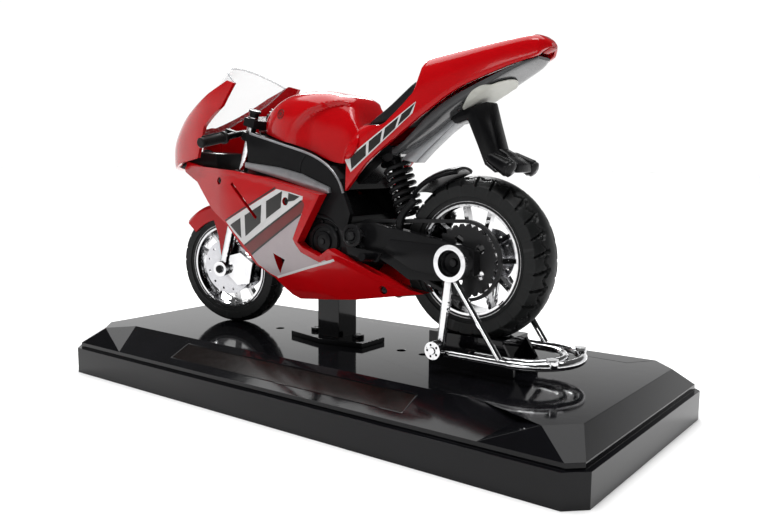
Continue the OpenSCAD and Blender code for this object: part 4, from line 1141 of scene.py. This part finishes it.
def make_grip(side):
    """Ribbed rubber grip with a flange inside and a round end."""
    root = Vector((2.45, side * 5.6, 37.7))
    tip = Vector((3.65, side * 20.4, 35.4))
    length = (tip - root).length + 0.55
    ribs = ceil((length - 1.2 - RIB_START) / RIB_SPACING)
    profile = GRIP_FLANGE + [[r, RIB_START + RIB_SPACING * k + h] for k in range(ribs) for r, h in GRIP_RIB]
    profile += [[1.3, length - 1], [1.3, length - 0.3], [1.0, length], [0.01, length], [0.01, 6.6]]
    return turned(profile, 24, on_fork() @ facing(root, tip - root))


def make_rail():
    """Inner rail of the stand: a bar bent round behind the wheel, with a short strut at each front end."""
    bend = []
    for k in range(9):
        a = radians(90 + 22.5 * k)
        bend.append([RAIL_BEND_X + RAIL_BEND * cos(a), RAIL_BEND * sin(a), RAIL_Z])
    left, right = ([[x, side * RAIL_BEND, RAIL_Z] for x in RAIL_ENDS_X] for side, _ in SIDES)
    rail = tube(left + bend + right[::-1], 0.75)
    struts = [tube([[-38, side * RAIL_BEND, RAIL_Z], [-38, side * 10.6, RAIL_Z]], 0.7) for side, _ in SIDES]
    return joined([rail] + struts)


def make_fork_cap(side):
    return turned(FORK_CAP, 28, on_fork((0, side * 5.2, 42.4)))


def make_axle_socket(side):
    return turned(AXLE_SOCKET, 28, on_fork() @ facing((0, side * 7.58, 0), (0, side, 0)))


def make_axle_cup(side):
    return turned(AXLE_CUP, 40, facing((axle_x, side * axle_end, axle_z), (0, side, 0)))


axle_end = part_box("rear_axle")[1].y / MM - 0.6
axle_x, _, axle_z = joint_place("rear_wheel_spin")
pair("grip_ribbed", make_grip, "fork", "grip_rubber", "grip")
piece("stem_nut", placed(lathe(STEM_NUT, 6, 20), on_fork((-FORK_OFFSET, 0, 42.5))), "fork")
pair("fork_cap", make_fork_cap, "fork")
pair("axle_socket", make_axle_socket, "fork")
pair("axle_cup", make_axle_cup, "stand")
piece("stand_inner_rail", make_rail(), "stand", "chrome")


# ---- ring on the tank, and all the prints

RING = [[0.95, -0.1], [1.25, -0.1], [1.25, 0.08], [0.95, 0.08]]
DOT = [[0.01, -0.1], [0.55, -0.1], [0.55, 0.08], [0.01, 0.08]]

ring = joined([lathe(RING, 40), lathe(DOT, 32)])
both_sides(placed(ring, on_surface(side_of(tank), 18.2, 69.6)), "print_maroon")
for look, meshes in prints.items():
    piece(look.replace("print", "stripes"), joined(meshes), "root", look)


# ---- hugger, engine dress, frame trim and painted highlight on the frame

HUGGER_TURN = (43, 35)
HUGGER_HALF_TURN = radians(76)
HUGGER_ARM = [[-20.6, 6.4, 49.4], [-17.4, 6.6, 45.6], [-16.8, 6.6, 41.6]]
CLUTCH_RINGS = [[0.01, 0], [4.3, 0], [4.3, 0.5], [3.9, 0.75], [3.4, 0.75], [3.2, 0.35], [2.6, 0.35],
                [2.4, 0.9], [1.7, 1.05], [1.5, 0.6], [0.9, 0.6], [0.7, 1.2], [0.01, 1.2]]
ARM_PANEL = [[-14, 38], [-16, 40.6], [-30, 40.2], [-37, 39], [-37.6, 34.8], [-33, 33], [-22, 34]]
PIVOT_CAP = [[0.01, 0], [2.7, 0], [2.7, 0.5], [2.4, 0.7], [1.9, 0.7], [1.7, 0.45], [1.2, 0.45], [1.0, 0.8],
             [0.01, 0.8]]
# Top edge of the frame, where a grey bar paints the highlight on the glossy black spar
FRAME_HIGHLIGHT_EDGE = [[27.8, 64.9], [17, 62.2], [7.6, 59.8], [1.9, 57.2], [-1.6, 54], [-3.2, 50.8]]
FRAME_CREASE = [[8.6, 59.6], [10.2, 57.4], [10.4, 54.6]]
FRAME_STRIP = [[29, 57.6], [17, 56.4], [9.3, 54.9], [7.1, 54.1], [0.6, 51.9], [0.4, 50.6], [2.6, 50.4],
               [16.2, 53.6], [29, 56.2]]
HOSES = [[[11, 9.4, 46.5], [7, 10.2, 48.2], [2, 10, 47.4], [-1.6, 9.6, 44.6]],
         [[10, 9.6, 43.6], [6, 10.4, 45], [1, 10.2, 44.4], [-2.4, 9.8, 42.2]],
         [[20, 8.4, 42], [15, 9.8, 40], [10, 10, 37.4], [7.6, 9.6, 34]]]


def flipped(path, side):
    """The points of a path on the left, or their mirror image."""
    return [[x, side * y, z] for x, y, z in path]


def hugger_row(share, less):
    """Points across the hugger at a share of its length from its front, smaller by less all round."""
    turn = radians(HUGGER_TURN[0] + HUGGER_TURN[1] * share)
    half = 7 - 3.4 * share ** 3 - 1.2 * (1 - share) ** 4
    row = []
    for i in range(21):
        a = HUGGER_HALF_TURN * (i / 10 - 1)
        r = 19.45 + 2.1 * cos(a) * (1 - 0.35 * share ** 4) - less
        y = (half - less) * sin(a) / sin(HUGGER_HALF_TURN)
        row.append([axle_x + r * cos(turn), y, axle_z + r * sin(turn)])
    return row


def make_hugger():
    """Curved guard over the rear tyre, narrow and rounded at its rear tip, on two arms."""
    outer, inner = ([hugger_row(k / 24, less) for k in range(25)] for less in (0, 0.7))
    arms = [tube(flipped(HUGGER_ARM, side), 0.9) for side, _ in SIDES]
    return joined([worked(slab(outer, inner), bevel=0.15)] + arms)


def make_nameplate_rim():
    """Raised rim round the sloping nameplate."""
    plate = [v.co / MM for v in frame["nodes"]["nameplate"].data.vertices]
    low, high = min(plate, key=lambda p: p.z), max(plate, key=lambda p: p.z)
    x0, x1 = min(p.x for p in plate), max(p.x for p in plate)
    low_edge, high_edge = (low.y, low.z + 0.35), (high.y, high.z)
    corners = [(x0, *low_edge), (x1, *low_edge), (x1, *high_edge), (x0, *high_edge)]
    return joined([tube([corners[k], corners[(k + 1) % 4]], 0.22, 8, 6) for k in range(4)])


def side_plate(outline, side, inner, outer, bevel):
    """Flat plate with this side outline, between two distances from the middle."""
    return worked(prism(outline, side * inner, side * outer), bevel=bevel)


def make_arm_panel(side):
    return side_plate(ARM_PANEL, side, arm_y - 0.3, arm_y + 0.4, 0.3)


def make_pivot_cap(side):
    return turned(PIVOT_CAP, 40, facing((pivot_x, side * cap_y, pivot_z), (0, side, 0)))


def frame_line(outline, y, radius):
    """Function of the side that makes a bar along the frame."""
    return lambda side: tube([[x, side * y, z] for x, z in outline], radius, 10, 6)


arm_y = side_of(frame["nodes"]["swingarm"].data)(-24, 37)[0]
cap_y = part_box("pivot_bolt")[1].y / MM - 0.3
pivot_x, _, pivot_z = joint_place("swingarm_pivot")
piece("rear_hugger", make_hugger(), "swingarm", nodes=["hugger"])
piece("clutch_rings", turned(CLUTCH_RINGS, 56, y_axis(2.4, 10.6, 39)))
pair("swingarm_panel", make_arm_panel, "swingarm")
piece("nameplate_rim", make_nameplate_rim(), look="black_base")
pair("pivot_cap", make_pivot_cap)
# the grey bar along the frame's top edge is a painted highlight
pair("frame_painted_highlight", frame_line(FRAME_HIGHLIGHT_EDGE, 10.5, 0.3), look="frame_grey")
pair("frame_crease", frame_line(FRAME_CREASE, 10.6, 0.25))
for side, hand in SIDES:
    piece(f"frame_strip_{hand}_trim", side_plate(FRAME_STRIP, side, 10.4, 11.4, 0.2), look="frame_grey",
          nodes=[f"frame_strip_{hand}"])
for number, path in enumerate(HOSES, 1):
    pair(f"engine_hose_{number}", lambda side: tube(flipped(path, side), 0.62, 12, 6))
